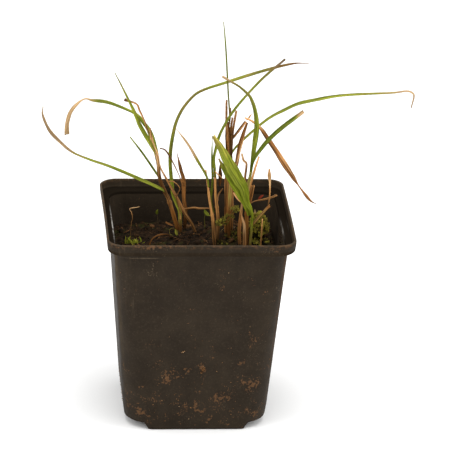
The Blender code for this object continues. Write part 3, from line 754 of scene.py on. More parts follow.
def pot_material():
    """Dark recycled plastic: a dull haze, pale dust in runs and at the corners, the pale strip down the left
    corner also a painted reflection, soil splashed low down, in spots and on the rim, and a painted
    highlight along the top of the lip. The stored tone is 1 inside, where painted light in the dust colour
    grows upward over a painted shade that is darkest on the ledge, with painted highlights along the ledge's
    two edges and a gloss at its two damp spots."""
    settings = bpy.context.scene.miscanthus_pot
    made, tree, shader = new_material("pot_plastic_used")
    here = object_place(tree)
    parts = add_node(tree, "ShaderNodeSeparateXYZ", {"Vector": here}).outputs
    across, height = parts["X"], parts["Z"]
    inside = mark(tree, "tone")
    outside = minus(tree, 1.0, inside)
    dust_and_light, soil = np.array(settings.dust_and_light), np.array(settings.soil)

    haze = remapped(tree, noise(tree, here, 70.0, 6.0, 0.66), 0.32, 0.75, 0.0, 0.10)
    colour = blended(tree, haze, settings.plastic, dust_and_light)
    grain = remapped(tree, noise(tree, here, 1000.0, 4.0, 0.7), 0.50, 0.74, 0.0, 0.15)
    colour = blended(tree, grain, colour, dust_and_light)

    runs = noise(tree, stretched(tree, here, (600.0, 600.0, 24.0)), 1.0, 4.0, 0.65)
    left_side = remapped(tree, across, -24 * MM, -35 * MM)
    upper = remapped(tree, height, 25 * MM, 75 * MM)
    run_mask = times(tree, left_side, upper, remapped(tree, runs, 0.54, 0.74, 0.0, 0.22))
    colour = blended(tree, run_mask, colour, dust_and_light)

    slope = (POT_WIDTH / 2 - RIM_STEP - BASE_WIDTH / 2) / (POT_HEIGHT - RIM_BAND)
    wall = plus(tree, times(tree, height, slope), BASE_WIDTH / 2)
    reach = magnitude(tree, across)
    gap = minus(tree, wall, reach)
    deep_gap = minus(tree, wall, magnitude(tree, parts["Y"]))
    corner = times(tree, remapped(tree, gap, 2.4 * MM, 0.4 * MM), remapped(tree, deep_gap, 9 * MM, 5 * MM))
    below_band = remapped(tree, height, 92.5 * MM, 91.5 * MM)
    patchy = remapped(tree, noise(tree, here, 260.0, 5.0, 0.7), 0.35, 0.62, 0.15, 1.0)
    edge = times(tree, corner, below_band, outside, patchy)
    # Down the left corner the pale strip is dust and a painted reflection of the bright surroundings; down
    # the right corner it is soil.
    left_dust_and_reflection = times(tree, edge, remapped(tree, across, -20 * MM, -30 * MM, 0.0, 0.34))
    colour = blended(tree, left_dust_and_reflection, colour, dust_and_light * 1.2)
    right_edge = times(tree, edge, remapped(tree, across, 20 * MM, 30 * MM, 0.0, 0.42))
    colour = blended(tree, right_edge, colour, soil * 0.8)

    low_down = times(tree, remapped(tree, height, 62 * MM, 6 * MM), 0.075)
    splashed = times(tree, spots_of(tree, here, SOIL_SPOTS), 0.180)
    on_band = times(tree, spots_of(tree, here, RIM_SPOTS), 0.27)
    level = minus(tree, 0.765, low_down, splashed, on_band)
    grains = speckled(tree, here, 1250.0, 150.0, 0.9, level)
    colour = blended(tree, times(tree, grains, 0.55), colour, soil)
    smears = speckled(tree, here, 620.0, 110.0, 1.0, plus(tree, level, 0.035))
    colour = blended(tree, times(tree, smears, 0.50), colour, soil)

    level = minus(tree, 0.745, times(tree, spots_of(tree, here, PALE_SPOTS), 0.115))
    pale_grit = speckled(tree, here, 1350.0, 120.0, 0.7, level)
    colour = blended(tree, times(tree, pale_grit, 0.40), colour, dust_and_light * 1.6)
    scuff = times(tree, spots_of(tree, here, (SCUFF,)), patchy, 0.7)
    colour = blended(tree, scuff, colour, dust_and_light * 1.2)

    on_rim = remapped(tree, height, POT_HEIGHT - 2.6 * MM, POT_HEIGHT - 0.4 * MM)
    rim_noise = noise(tree, stretched(tree, here, (420.0, 420.0, 700.0)), 1.0, 4.0, 0.7)
    rim_mask = times(tree, on_rim, remapped(tree, rim_noise, 0.46, 0.64))
    colour = blended(tree, times(tree, rim_mask, 0.46), colour, soil * 0.9)
    # Painted highlight: a paler band along the top of the lip, in the dust colour.
    lip = remapped(tree, height, POT_HEIGHT - 0.7 * MM, POT_HEIGHT - 0.1 * MM, 0.0, 0.22)
    colour = blended(tree, lip, colour, dust_and_light)

    # Painted light inside the pot: the colour turns toward the dust colour, more toward the rim.
    film = times(tree, inside, remapped(tree, height, 80 * MM, 97 * MM, 0.0, 0.13))
    colour = blended(tree, film, colour, dust_and_light)
    above_corner = remapped(tree, height, 92.8 * MM, 93.4 * MM)
    ledge = times(tree, above_corner, remapped(tree, height, 96.2 * MM, 95.4 * MM))
    # Painted shade inside the pot, slight on the walls and strong on the ledge under the rim.
    painted_inner_shade = times(tree, inside, plus(tree, times(tree, ledge, 0.75), 0.05))
    colour = blended(tree, painted_inner_shade, colour, (0.0060, 0.0045, 0.0032))
    # Painted highlights: thin pale strips along the inner and outer edges of the ledge, where the spots of
    # the wet ledge lie.
    inner_highlight = remapped(tree, reach, 39.9 * MM, 40.2 * MM)
    inner_highlight = times(tree, inner_highlight, remapped(tree, reach, 41.1 * MM, 40.8 * MM))
    outer_highlight = remapped(tree, reach, 43.1 * MM, 43.5 * MM)
    wet_and_highlight = times(tree, spots_of(tree, here, WET_AND_HIGHLIGHT_SPOTS), inside)
    highlight_lines = times(tree, largest(tree, inner_highlight, outer_highlight), ledge, wet_and_highlight, patchy)
    colour = blended(tree, highlight_lines, colour, (0.52, 0.49, 0.45))

    dirt = largest(tree, grains, smears, rim_mask, edge)
    skin = noise(tree, here, 1400.0, 3.0, 0.6)
    surface = plus(tree, times(tree, skin, 0.12), times(tree, dirt, 0.5))
    worn = remapped(tree, noise(tree, here, 180.0, 3.0), 0.3, 0.7, 0.52, 0.64)
    worn = minus(tree, worn, times(tree, wet_and_highlight, 0.36))
    gloss = times(tree, plus(tree, times(tree, wet_and_highlight, 0.45), 0.06), minus(tree, 1.0, ledge))
    finish_shader(
        tree, shader,
        Base_Color=colour,
        Roughness=plus(tree, worn, times(tree, dirt, 0.4)),
        Specular_IOR_Level=gloss,
        Normal=bump(tree, surface, 0.12 * MM, 0.6),
    )
    return made


@built_once("materials", "compost_damp")
def compost_material(name):
    """Damp peaty compost: near-black with brown crumbs, rusty flecks and a thin green algae film."""
    settings = bpy.context.scene.miscanthus_compost
    made, tree, shader = new_material(name)
    here = object_place(tree)
    lumps = noise(tree, here, 420.0, 4.0, 0.7)
    colour = blended(tree, remapped(tree, lumps, 0.38, 0.72), settings.dark, settings.brown)
    flecks = times(tree, speckled(tree, here, 900.0, 130.0, 0.8, 0.76), 0.7)
    colour = blended(tree, flecks, colour, (0.19, 0.085, 0.032))
    film = remapped(tree, noise(tree, here, 120.0, 4.0, 0.65), 0.50, 0.70, 0.0, 0.50)
    colour = blended(tree, film, colour, (0.040, 0.043, 0.008))
    grains = noise(tree, here, 1500.0, 3.0, 0.7)
    finish_shader(
        tree, shader,
        Base_Color=colour,
        Roughness=remapped(tree, lumps, 0.3, 0.7, 0.98, 0.78),
        Specular_IOR_Level=0.08,
        Normal=bump(tree, plus(tree, grains, lumps), 0.5 * MM, 0.7),
    )
    return made


@built_once("materials", "loose_bits")
def bits_material(name):
    """Loose bits: the stored tone picks from black crumb through rust brown to pale bark and grit."""
    made, tree, shader = new_material(name)
    grain = noise(tree, object_place(tree), 1300.0, 3.0, 0.7)
    pick = plus(tree, mark(tree, "tone"), remapped(tree, grain, 0.3, 0.7, -0.10, 0.10))
    stops = (
        (0.0, (0.006, 0.0036, 0.002)),
        (0.48, (0.028, 0.0145, 0.0062)),
        (0.72, (0.090, 0.042, 0.015)),
        (0.88, (0.230, 0.105, 0.036)),
        (1.0, (0.460, 0.330, 0.190)),
    )
    finish_shader(
        tree, shader,
        Base_Color=ramp(tree, pick, stops),
        Roughness=remapped(tree, grain, 0.3, 0.7, 0.95, 0.80),
        Specular_IOR_Level=0.10,
        Normal=bump(tree, grain, 0.25 * MM, 0.7),
    )
    return made


@built_once("materials", "moss_leafy")
def moss_material(name):
    """Moss: the stored tone runs from shaded lower leaves to fresh tips, mottled, some browned."""
    settings = bpy.context.scene.miscanthus_moss
    made, tree, shader = new_material(name)
    here = object_place(tree)
    mottle = noise(tree, here, 600.0, 3.0, 0.6)
    pick = plus(tree, mark(tree, "tone"), remapped(tree, mottle, 0.3, 0.7, -0.2, 0.2))
    shade, tips = np.array(settings.shade), np.array(settings.tips)
    colour = ramp(tree, pick, ((0.0, shade * 0.5), (0.35, shade), (0.7, (shade + tips) / 2), (1.0, tips)))
    browned = remapped(tree, noise(tree, here, 230.0, 2.0), 0.56, 0.70, 0.0, 0.6)
    finish_shader(
        tree, shader,
        Base_Color=blended(tree, browned, colour, (0.140, 0.075, 0.022)),
        Roughness=remapped(tree, mottle, 0.3, 0.7, 0.60, 0.85),
        Specular_IOR_Level=0.12,
        Normal=bump(tree, mottle, 0.08 * MM, 0.5),
    )
    return made


def floor_material():
    """Matt white board with the faintest grain."""
    made, tree, shader = new_material("floor_board")
    shade = np.array(bpy.context.scene.miscanthus_stage.floor)
    grain = noise(tree, object_place(tree), 30.0, 3.0)
    colour = blended(tree, grain, shade * 0.995, shade)
    finish_shader(tree, shader, Base_Color=colour, Roughness=0.9, Specular_IOR_Level=0.1)
    return made


# ------------------------------------------------------------------ pot and compost

def pot_section_width(z):
    """Outside width of the tapered body at height z, in a straight line from base to rim band."""
    top = POT_WIDTH - 2 * RIM_STEP
    return BASE_WIDTH + (top - BASE_WIDTH) * z / (POT_HEIGHT - RIM_BAND)


def pot_section_corner(z):
    return BASE_CORNER + (BODY_TOP_CORNER - BASE_CORNER) * z / (POT_HEIGHT - RIM_BAND)


def square_columns(side_steps, arc_steps):
    """One turn of a rounded square as columns: x is a(h - c) + b c and y is d(h - c) + e c,
    for half width h and corner radius c; returns the arrays a, d, b, e."""
    turn = np.linspace(0, np.pi / 2, arc_steps)
    along = np.linspace(-1, 1, side_steps + 2)[1:-1]
    spread_x = np.concatenate([np.ones(side_steps), np.ones(arc_steps)])
    spread_y = np.concatenate([along, np.ones(arc_steps)])
    arc_x = np.concatenate([np.ones(side_steps), np.cos(turn)])
    arc_y = np.concatenate([np.zeros(side_steps), np.sin(turn)])
    whole = []
    for quarter in range(4):
        cos, sin = round(math.cos(quarter * math.pi / 2)), round(math.sin(quarter * math.pi / 2))
        turned = (spread_x * cos - spread_y * sin, spread_x * sin + spread_y * cos)
        turned += (arc_x * cos - arc_y * sin, arc_x * sin + arc_y * cos)
        whole.append(np.array(turned))
    return np.concatenate(whole, axis=1)


def rounded_rings(half, corner, height, side_steps=30, arc_steps=21):
    """A grid of rounded-square rings, one for each half width, corner radius and height."""
    spread_x, spread_y, arc_x, arc_y = square_columns(side_steps, arc_steps)
    reach = (half - corner)[:, None]
    corner = corner[:, None]
    x = reach * spread_x + corner * arc_x
    y = reach * spread_y + corner * arc_y
    return np.stack([x, y, np.broadcast_to(height[:, None], x.shape)], axis=-1)


def side_lift(x):
    """How far the base is raised: up a short slope to FOOT_HEIGHT on both sides of the foot."""
    return FOOT_HEIGHT * smooth_step(np.abs(x) - FOOT_HALF, 0.0, FOOT_SLOPE)


def lifted(grid):
    """Raises the base beside the foot: near the floor z becomes lift + z (1 - lift / fade)."""
    x, y, z = grid[..., 0], grid[..., 1], grid[..., 2]
    lift = side_lift(x)
    raised = np.where(z < LIFT_FADE, lift + z * (1 - lift / LIFT_FADE), z)
    return np.stack([x, y, raised], axis=-1)


def filled(profile, step):
    """A profile (half width, corner, height) with extra rows so that no step is longer than step."""
    profile = np.array(profile)
    gaps = np.linalg.norm(np.diff(profile[:, [0, 2]], axis=0), axis=1)
    rows = [profile[:1]]
    for start, end, gap in zip(profile, profile[1:], gaps):
        count = max(1, int(math.ceil(gap / step)))
        share = np.linspace(0, 1, count + 1)[1:, None]
        rows.append(start + (end - start) * share)
    return np.vstack(rows)


def arc_rows(centre_half, centre_z, radius, start, end, corner, steps=5):
    """Profile rows on a quarter round: centre plus radius times (cosine, sine), in degrees."""
    angle = np.radians(np.linspace(start, end, steps))
    half = centre_half + radius * np.cos(angle)
    return [(h, corner, z) for h, z in zip(half, centre_z + radius * np.sin(angle))]


def pot_profile(wall):
    """Half width, corner and height from the middle of the base, up the outside, over the lip and
    down the inside to the middle of the floor."""
    band_foot = POT_HEIGHT - RIM_BAND
    rim = POT_WIDTH / 2
    base = BASE_WIDTH / 2
    edge = 0.9 * MM
    body_top = pot_section_width(band_foot) / 2
    band_round, lip = 1.5 * MM, 0.45 * MM
    rows = [(0.4 * MM, 0.15 * MM, 0.0), (base - 6 * MM, BASE_CORNER - 5 * MM, 0.0)]
    rows += arc_rows(base - edge, edge, edge, -90, 0, BASE_CORNER)
    heights = np.linspace(4 * MM, band_foot - 1.2 * MM, 5)
    rows += [(pot_section_width(z) / 2, pot_section_corner(z), z) for z in heights]
    rows += arc_rows(body_top + 1.0 * MM, band_foot - 1.0 * MM, 1.0 * MM, 180, 90, BODY_TOP_CORNER, 4)
    rows += arc_rows(rim - 0.4 * MM - band_round, band_foot + band_round, band_round, -90, 0, RIM_CORNER)
    rows += [(rim - 0.15 * MM, RIM_CORNER, band_foot + 3.2 * MM)]
    rows += arc_rows(rim - lip, POT_HEIGHT - lip, lip, 0, 90, RIM_CORNER, 4)
    lip *= 0.6
    rows += arc_rows(rim - wall + lip, POT_HEIGHT - lip, lip, 90, 180, RIM_CORNER - 0.4 * MM, 4)
    ledge = band_foot + wall
    rows += [(rim - wall - 0.2 * MM, RIM_CORNER - wall, ledge + 1.4 * MM)]
    rows += arc_rows(rim - wall - 1.2 * MM, ledge + 1.2 * MM, 0.9 * MM, 0, -90, RIM_CORNER - wall, 4)
    inner_top = body_top - wall
    corner = BODY_TOP_CORNER - wall / 2
    rows += arc_rows(inner_top + 0.9 * MM, ledge - 0.6 * MM, 0.9 * MM, 90, 180, corner, 4)
    heights = np.linspace(ledge - 3 * MM, 2.5 * MM, 6)
    rows += [(pot_section_width(z) / 2 - wall, pot_section_corner(z) - wall / 2, z) for z in heights]
    rows += [(base - wall - 1.2 * MM, BASE_CORNER - wall, wall), (0.4 * MM, 0.15 * MM, wall)]
    return filled(rows, 1.6 * MM)


def bowed(grid):
    """Slight moulding faults: each side wall bows by a cosine over its length, by height."""
    x, y, z = grid[..., 0], grid[..., 1], grid[..., 2]
    half = POT_WIDTH / 2
    rim = smooth_step(z, 80 * MM, 96 * MM)
    middle = np.sin(np.pi * np.clip(z / (90 * MM), 0, 1))
    side = np.clip(np.abs(x) / half, 0, 1) ** 4 * np.cos(np.pi * y / (2 * half * 1.05))
    moved_x = np.where(x < 0, 0.35 * rim - 0.35 * middle, 0.25 * rim - 0.1 * middle)
    face = np.clip(np.abs(y) / half, 0, 1) ** 4 * np.cos(np.pi * x / (2 * half * 1.05))
    moved_y = np.where(y < 0, 0.20 * middle - 0.12 * rim, 0.15 * rim)
    waves = value_noise(np.stack([x, y, np.zeros_like(x)], axis=-1), 17 * MM, 8)
    drop = bpy.context.scene.miscanthus_pot.waviness * waves * rim
    return np.stack([x + moved_x * side * MM, y + moved_y * face * MM, z + drop], axis=-1)


def with_holes(piece):
    """Cuts the four drain holes with a boolean, keeps the result and drops the cutters."""
    turn = np.linspace(0, 2 * np.pi, 28, endpoint=False)[None, :]
    heights = np.array([-2.0, 1.5, 5.0, 8.0])[:, None] * MM
    cutters = []
    for x_side in (-1, 1):
        for y_side in (-1, 1):
            x = x_side * DRAIN_PLACE[0] + DRAIN_RADIUS * np.cos(turn) + 0 * heights
            y = y_side * DRAIN_PLACE[1] + DRAIN_RADIUS * np.sin(turn) + 0 * heights
            grid = np.stack([x, y, heights + 0 * turn], axis=-1)
            cutters.append(closed_rings(grid, {}))
    shape = joined(cutters)
    mesh = bpy.data.meshes.new("drain_cutter")
    faces = shape["quads"].tolist() + shape["tris"].tolist()
    mesh.from_pydata(shape["points"].tolist(), [], faces)
    cutter = bpy.data.objects.new("drain_cutter", mesh)
    bpy.context.scene.collection.objects.link(cutter)
    modifier = piece.modifiers.new("drain_holes", "BOOLEAN")
    modifier.operation = "DIFFERENCE"
    modifier.solver = "EXACT"
    modifier.object = cutter
    graph = bpy.context.evaluated_depsgraph_get()
    result = bpy.data.meshes.new_from_object(piece.evaluated_get(graph))
    piece.modifiers.clear()
    piece.data = result
    result.shade_smooth()
    result.set_sharp_from_angle(angle=math.radians(40))
    bpy.data.objects.remove(cutter, do_unlink=True)


def ball_rings(rows, columns):
    """Rings of points on the unit sphere, without its two poles."""
    tilt = np.linspace(0, np.pi, rows + 2)[1:-1]
    turn = np.linspace(0, 2 * np.pi, columns, endpoint=False)
    x, y = np.outer(np.sin(tilt), np.cos(turn)), np.outer(np.sin(tilt), np.sin(turn))
    return np.stack([x, y, np.outer(np.cos(tilt), np.ones(columns))], axis=-1)


def soil_bits(centres, sizes, tones, rng, squash=0.75):
    """Crumbs: a small ring-built ball for each centre, its points pushed in and out at random,
    squashed and turned; every crumb is the unit ball times its size plus its centre."""
    unit_ball = closed_rings(ball_rings(4, 6), {}, 0.3, 0.3)
    count, per = len(centres), len(unit_ball["points"])
    push = rng.uniform(0.68, 1.28, (count, per, 1))
    shaped = unit_ball["points"][None] * push * rng.uniform(0.7, 1.25, (count, 1, 3))
    shaped = shaped * np.array([1.0, 1.0, squash])
    axes = random_frames(unit(rng.normal(0, 1, (count, 3)) + np.array([0, 0, 1.5])), rng)
    shaped = np.einsum("npk,nkj->npj", shaped, axes) * sizes[:, None, None] + centres[:, None]
    return repeated(unit_ball, shaped, tones[:, None] + rng.uniform(-0.06, 0.06, (count, per)))


def inside_wall(places):
    """Draws places beyond a rounded corner of the pot's inside back along the line to its centre."""
    corner = pot_section_corner(COMPOST_EDGE_HEIGHT)
    middle = pot_section_width(COMPOST_EDGE_HEIGHT) / 2 - 2.2 * MM - corner
    beyond = np.maximum(np.abs(places) - middle, 0.0)
    reach = np.linalg.norm(beyond, axis=0)
    shrink = np.minimum(1.0, corner / np.maximum(reach, 1e-9))
    return np.sign(places) * (np.minimum(np.abs(places), middle) + beyond * shrink)


def random_frames(axis, rng):
    """Three unit directions for each axis: two across it at a random turn, then the axis."""
    helper = unit(rng.normal(0, 1, axis.shape))
    first = unit(np.cross(helper, axis))
    return np.stack([first, np.cross(axis, first), axis], axis=1)


def repeated(one, points, tones):
    """Many copies of one shape: points is (copies, points, 3), tones (copies, points)."""
    copies, per = points.shape[:2]
    starts = (np.arange(copies) * per)[:, None, None]
    return {
        "points": points.reshape(-1, 3),
        "quads": (one["quads"][None] + starts).reshape(-1, 4),
        "tris": (one["tris"][None] + starts).reshape(-1, 3),
        "tone": tones.ravel(),
    }


def fibre_bits(starts, headings, lengths, thickness, tones, rng):
    """Peat fibres: three-sided threads along start + heading t + curl t^2, with a low arch."""
    rows, columns = 7, 3
    t = np.linspace(0, 1, rows)[None, :, None]
    count = len(starts)
    curl = rng.normal(0, 0.35, (count, 1, 3)) * lengths[:, None, None]
    middle = starts[:, None] + headings[:, None] * lengths[:, None, None] * t + curl * t**2
    middle[..., 2] += (lengths[:, None] * 0.25) * (t[..., 0] * (1 - t[..., 0])) * 2
    along = unit(np.gradient(middle, axis=1))
    across = unit(np.cross(along, np.array([0.1, 0.2, 1.0])))
    normal = np.cross(across, along)
    turn = np.linspace(0, 2 * np.pi, columns, endpoint=False)
    radius = thickness[:, None, None, None] * (1 - 0.6 * t[:, :, None])
    ring = across[:, :, None] * np.cos(turn)[None, None, :, None]
    ring = ring + normal[:, :, None] * np.sin(turn)[None, None, :, None]
    grid = middle[:, :, None] + ring * radius
    one = closed_rings(grid[0], {})
    poles = np.stack([grid[:, 0].mean(axis=1), grid[:, -1].mean(axis=1)], axis=1)
    points = np.concatenate([grid.reshape(count, -1, 3), poles], axis=1)
    return repeated(one, points, np.broadcast_to(tones[:, None], points.shape[:2]))


# ------------------------------------------------------------------ moss

GOLDEN_ANGLE = 2.39996


def moss_shoot_unit(leaves=9):
    """One shoot, one unit tall: a three-sided stalk and pointed leaves set round it by the golden
    angle, each a flat five-point wedge with six faces."""
    turn = np.arange(3) * 2 * np.pi / 3
    heights = np.array([0.0, 0.55, 1.0])
    radii = np.array([0.05, 0.045, 0.015])
    grid = np.stack([
        np.outer(radii, np.cos(turn)), np.outer(radii, np.sin(turn)), np.outer(heights, np.ones(3)),
    ], axis=-1)
    shapes = [closed_rings(grid, {"tone": np.array([[0.1], [0.3], [0.6]])}, 0, 0.05)]
    for number in range(leaves):
        share = number / (leaves - 1)
        angle = number * GOLDEN_ANGLE
        out = np.array([math.cos(angle), math.sin(angle), 0.0])
        side = np.array([-math.sin(angle), math.cos(angle), 0.0])
        rise = 0.35 + 0.75 * share
        length = 0.46 - 0.16 * share
        foot = np.array([0, 0, 0.16 + 0.74 * share]) + out * 0.02
        heading = unit(out + np.array([0, 0, rise]))
        over = np.cross(heading, side)
        middle = foot + heading * length * 0.45
        points = np.array([
            foot, middle + side * 0.085, middle - side * 0.085, middle + over * 0.035,
            foot + heading * length - over * 0.05,
        ])
        tris = np.array([[0, 1, 3], [0, 3, 2], [0, 2, 1], [4, 3, 1], [4, 2, 3], [4, 1, 2]])
        leaf = {"points": points, "quads": np.zeros((0, 4), dtype=int), "tris": tris}
        tones = np.array([0.25, 0.55, 0.55, 0.6, 0.95]) * (0.6 + 0.4 * share)
        shapes.append(turned_outward({**leaf, "tone": tones}))
    return joined(shapes)


def moss_shoots(feet, headings, lengths, tones, rng):
    """Moss shoots standing on feet, each the unit shoot turned to its heading and scaled."""
    one = moss_shoot_unit()
    axes = random_frames(unit(headings), rng)
    points = np.einsum("pk,nkj->npj", one["points"], axes) * lengths[:, None, None] + feet[:, None]
    return repeated(one, points, one["tone"][None] * 0.7 + tones[:, None])


def tuft_of_moss(centre, radii, count, length, tone, rng, upright=0.4):
    """Shoots growing from the skin of an egg-shaped lump, leaning outward and up."""
    around = unit(rng.normal(0, 1, (count, 3)))
    around[:, 2] = np.abs(around[:, 2]) * 1.1 - 0.25
    around = unit(around)
    feet = np.array(centre) * MM + around * np.array(radii) * MM
    headings = around + np.array([0, 0, upright]) + rng.normal(0, 0.25, (count, 3))
    lengths = length * MM * rng.uniform(0.65, 1.25, count)
    # Painted light and shade: shoots on the top of the lump get a higher tone, those underneath a lower one.
    tones = tone + rng.uniform(-0.16, 0.16, count) + 0.15 * around[:, 2]
    return moss_shoots(feet, headings, lengths, tones, rng)


def lump(centre, radii, seed, swell):
    """A closed egg shape about centre, in millimetres, its radius varied by noise at two sizes."""
    ball = ball_rings(26, 34)
    uneven = 1 + swell * value_noise(ball, 0.7, seed) + 0.6 * swell * value_noise(ball, 0.28, seed + 1)
    grid = (np.array(centre) + ball * uneven[..., None] * np.array(radii)) * MM
    # The lump's low tone is the cushion's dark inside and painted shade between the shoots; noise varies it
    # and it is painted lighter on top.
    tone = 0.02 + 0.15 * value_noise(ball, 0.4, seed + 2) + 0.10 * ball[..., 2]
    return closed_rings(grid, {"tone": tone}, 0.1 * MM, 0.1 * MM)


# ------------------------------------------------------------------ operators

class MISCANTHUS_OT_pot(bpy.types.Operator):
    """Builds the square pot with its rim band, ledge, foot, raised sides and drain holes"""

    bl_idname = "miscanthus.pot"
    bl_label = "Pot"

    def execute(self, context):
        profile = pot_profile(context.scene.miscanthus_pot.wall)
        grid = rounded_rings(profile[:, 0], profile[:, 1], profile[:, 2])
        grid = bowed(lifted(grid))
        inside = np.arange(len(profile)) > np.argmax(profile[:, 2])
        shape = closed_rings(grid, {"tone": inside[:, None] * 1.0})
        with_holes(add_piece("pot_shell", shape, pot_material(), "pot_plastic", ("pot",)))
        return {"FINISHED"}


class MISCANTHUS_OT_compost(bpy.types.Operator):
    """Builds the root ball: tapered sides and a lumpy top"""

    bl_idname = "miscanthus.compost"
    bl_label = "Compost"

    def execute(self, context):
        clear = context.scene.miscanthus_pot.wall + WALL_GAP
        heights = np.concatenate([[clear], np.linspace(4 * MM, COMPOST_EDGE_HEIGHT - 1.5 * MM, 16)])
        sides = rounded_rings(
            np.array([pot_section_width(z) / 2 - clear for z in heights]),
            np.array([pot_section_corner(z) - clear / 2 for z in heights]), heights, 36, 10,
        )
        edge = pot_section_width(COMPOST_EDGE_HEIGHT) / 2 - clear - 0.25 * MM
        shares = np.linspace(1.0, 0.012, 74)
        corner = pot_section_corner(COMPOST_EDGE_HEIGHT) - clear
        top = rounded_rings(edge * shares, corner * shares, shares, 36, 10)
        top[..., 2] = compost_surface(top[..., 0], top[..., 1])
        bottom = rounded_rings(
            np.array([0.4 * MM, 0.5 * BASE_WIDTH - 5 * MM]), np.array([0.15 * MM, BASE_CORNER - 4 * MM]),
            np.array([clear, clear]), 36, 10,
        )
        grid = lifted(np.concatenate([bottom, sides, top]))
        shape = closed_rings(grid, {})
        add_piece("compost_block", shape, compost_material(), "compost", ("compost",))
        return {"FINISHED"}


class MISCANTHUS_OT_loose_bits(bpy.types.Operator):
    """Scatters crumbs and peat fibres over the compost, and soil specks on the pot"""

    bl_idname = "miscanthus.loose_bits"
    bl_label = "Crumbs and fibres"

    def execute(self, context):
        settings = context.scene.miscanthus_compost
        rng = np.random.default_rng(41)
        count = settings.crumbs
        x, y = inside_wall(rng.uniform(-38.5 * MM, 38.5 * MM, (2, count)))
        sizes = np.clip(rng.lognormal(-0.85, 0.55, count), 0.18, 1.9) * MM
        centres = np.stack([x, y, compost_surface(x, y) + 0.15 * sizes], axis=-1)
        tones = np.clip(rng.normal(0.40, 0.18, count), 0.0, 1.0)
        crumbs = soil_bits(centres, sizes, tones, rng)
        add_piece("compost_crumbs", crumbs, bits_material(), "compost", flat=True)

        count = settings.fibres
        x, y = inside_wall(rng.uniform(-36 * MM, 36 * MM, (2, count)))
        starts = np.stack([x, y, compost_surface(x, y) + 0.1 * MM], axis=-1)
        heading = rng.uniform(0, 2 * np.pi, count)
        headings = np.stack([np.cos(heading), np.sin(heading), rng.uniform(-0.05, 0.35, count)], axis=-1)
        lengths = rng.uniform(2.0, 7.0, count) * MM
        lengths = np.minimum(lengths, 40 * MM - np.maximum(np.abs(x), np.abs(y)))
        thickness = rng.uniform(0.08, 0.22, count) * MM
        tones = np.clip(rng.normal(0.62, 0.15, count), 0.2, 1.0)
        fibres = fibre_bits(starts, headings, lengths, thickness, tones, rng)
        add_piece("peat_fibres", fibres, bits_material(), "compost")

        specks = np.array(FRONT_SPECKS)
        places = specks[:, :2] * MM
        wall = pot_section_width(places[:, 1]) / 2
        centres = np.stack([places[:, 0], -wall + 0.1 * MM, places[:, 1]], axis=-1)
        count = settings.specks
        low = 4 * MM + 62 * MM * rng.beta(1.1, 2.6, count)
        wall = pot_section_width(low) / 2
        along = rng.uniform(-1, 1, count) * (wall - BASE_CORNER)
        side = rng.integers(0, 4, count) * np.pi / 2
        scattered = np.stack([
            along * np.cos(side) + wall * np.sin(side), along * np.sin(side) - wall * np.cos(side), low,
        ], axis=-1)
        centres = np.vstack([centres, scattered])
        sizes = np.concatenate([specks[:, 2], rng.uniform(0.09, 0.26, count)]) * MM
        tones = np.concatenate([specks[:, 3], rng.uniform(0.62, 0.92, count)])
        stuck = soil_bits(centres, sizes, tones, rng)
        add_piece("pot_soil_specks", stuck, bits_material(), "compost", flat=True)
        return {"FINISHED"}


def add_plants(pieces, packed=True):
    """Adds each (name, finish, shape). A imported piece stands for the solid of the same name."""
    for name, kind, shape in pieces:
        material, slot = plant_finish(kind)
        if packed:
            add_piece(f"{name}_fine", shape, material, slot, (name,))
        else:
            add_piece(name, shape, material, slot)
    return {"FINISHED"}
